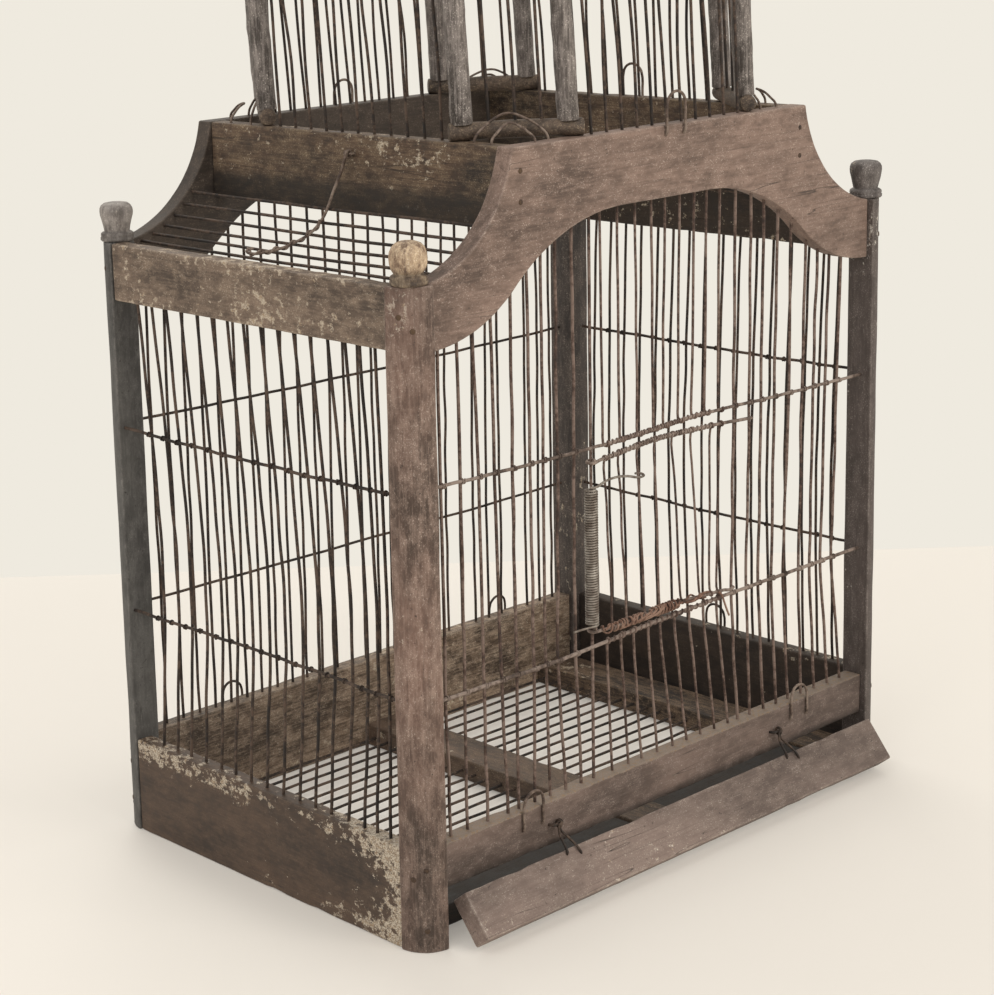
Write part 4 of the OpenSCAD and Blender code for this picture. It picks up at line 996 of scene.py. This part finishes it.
# Finishes of the solids that stay
KEEP = {"tower_left_rail": WOOD["inside_end"], "tower_right_rail": WOOD["inside_end"],
        "tower_front_rail": WOOD["arch"], "tower_back_rail": WOOD["inside"]}
for name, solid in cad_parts.items():
    solid.data.materials.clear()
    solid.data.materials.append(KEEP.get(name, IRON["dark"]))


# Camera, floor and light
def stand(name, corners, material):
    bm = bmesh.new()
    bm.faces.new([bm.verts.new(c) for c in corners])
    mesh = bpy.data.meshes.new(name)
    bm.to_mesh(mesh)
    bm.free()
    mesh.materials.append(material)
    link(name, mesh)


def pale_ground(name, colour, lift):
    """Painted floor. Part of what the camera sees is its own flat colour, so the shadows on it stay pale."""
    material, tree, shader = start(name)
    feed(tree, shader, {"Base Color": colour, "Roughness": 0.6})
    rays = add(tree, "LightPath", {}).node.outputs
    flat = add(tree, "Emission", {"Color": colour, "Strength": 0.9})
    seen = add(tree, "Math", {0: rays["Is Camera Ray"], 1: rays["Is Glossy Ray"]}, **LARGER)
    share = add(tree, "Math", {0: seen, 1: lift}, **TIMES)
    both = add(tree, "MixShader", {0: share, 1: shader.outputs[0], 2: flat})
    feed(tree, tree.nodes["Material Output"], {"Surface": both})
    return material


# Pale floor that ends where the wall would stand, in metres
edge_a, edge_b = Vector((0.0529, 0.672, 0)), Vector((0.7149, 0.0851, 0))
run = (edge_b - edge_a).normalized() * 8
back = Vector((0.662, 0.747, 0)).normalized() * 8
middle = (edge_a + edge_b) / 2
stand("floor", [middle - run, middle - run - back, middle + run - back, middle + run],
      pale_ground("pale_floor", "ebe5dc", 0.3))

world = bpy.data.worlds.new("soft_room")
bpy.context.scene.world = world
world.use_nodes = True
air = world.node_tree
air.nodes.clear()
rays = add(air, "LightPath", {}).node.outputs
seen = add(air, "Math", {0: rays["Is Camera Ray"], 1: rays["Is Glossy Ray"]}, **LARGER)
room = add(air, "Background", {"Color": "f4f1ea", "Strength": 0.86})
wall = add(air, "Background", {"Color": "efeadf", "Strength": 1.0})
add(air, "OutputWorld", {0: add(air, "MixShader", {0: seen, 1: room, 2: wall})})


def lamp(name, place, aim, size, power, colour):
    light = bpy.data.lights.new(name, "AREA")
    light.size = size
    light.energy = power
    light.color = srgb(colour)[:3]
    holder = link(name, light)
    holder.location = place
    holder.rotation_euler = (Vector(aim) - Vector(place)).to_track_quat("-Z", "Y").to_euler()


lamp("window", (0.3, -2.3, 1.9), (0, 0, 0.25), 1.6, 30, "fffaf4")
lamp("room_fill", (-2.2, -0.4, 1.7), (0, 0, 0.25), 2.0, 14, "f8f6fc")
lamp("far_window", (0.9, 1.9, 2.3), (0, 0, 0.1), 1.8, 28, "fffcf6")

# The camera of the photograph: its picture's width, height, middle and focal length in pixels
WIDE, HALF_HIGH, FOCUS, MIDDLE_X, MIDDLE_Y = 994, 497.5, 2330.4, 300.6, 375.8
camera = bpy.data.cameras.new("camera")
view = link("camera", camera)
turn_z, tilt, roll = math.radians(-40.8144), math.radians(12.0851), math.radians(-2.0553)
away = Vector((math.sin(turn_z) * math.cos(tilt), -math.cos(turn_z) * math.cos(tilt), math.sin(tilt)))
right = (-away).cross(Vector((0, 0, 1))).normalized()
up = right.cross(-away)
right, up = math.cos(roll) * right + math.sin(roll) * up, -math.sin(roll) * right + math.cos(roll) * up
aim = Matrix((right, up, away)).transposed().to_4x4()
view.matrix_world = Matrix.Translation((-1.0926, -1.0591, 0.6205)) @ aim
camera.sensor_fit = "HORIZONTAL"
camera.sensor_width = 36
camera.lens = FOCUS / WIDE * 36
camera.shift_x = (WIDE / 2 - MIDDLE_X) / WIDE
camera.shift_y = (MIDDLE_Y - HALF_HIGH) / WIDE
camera.clip_end = 50
bpy.context.scene.camera = view
bpy.context.scene.view_settings.view_transform = "Standard"
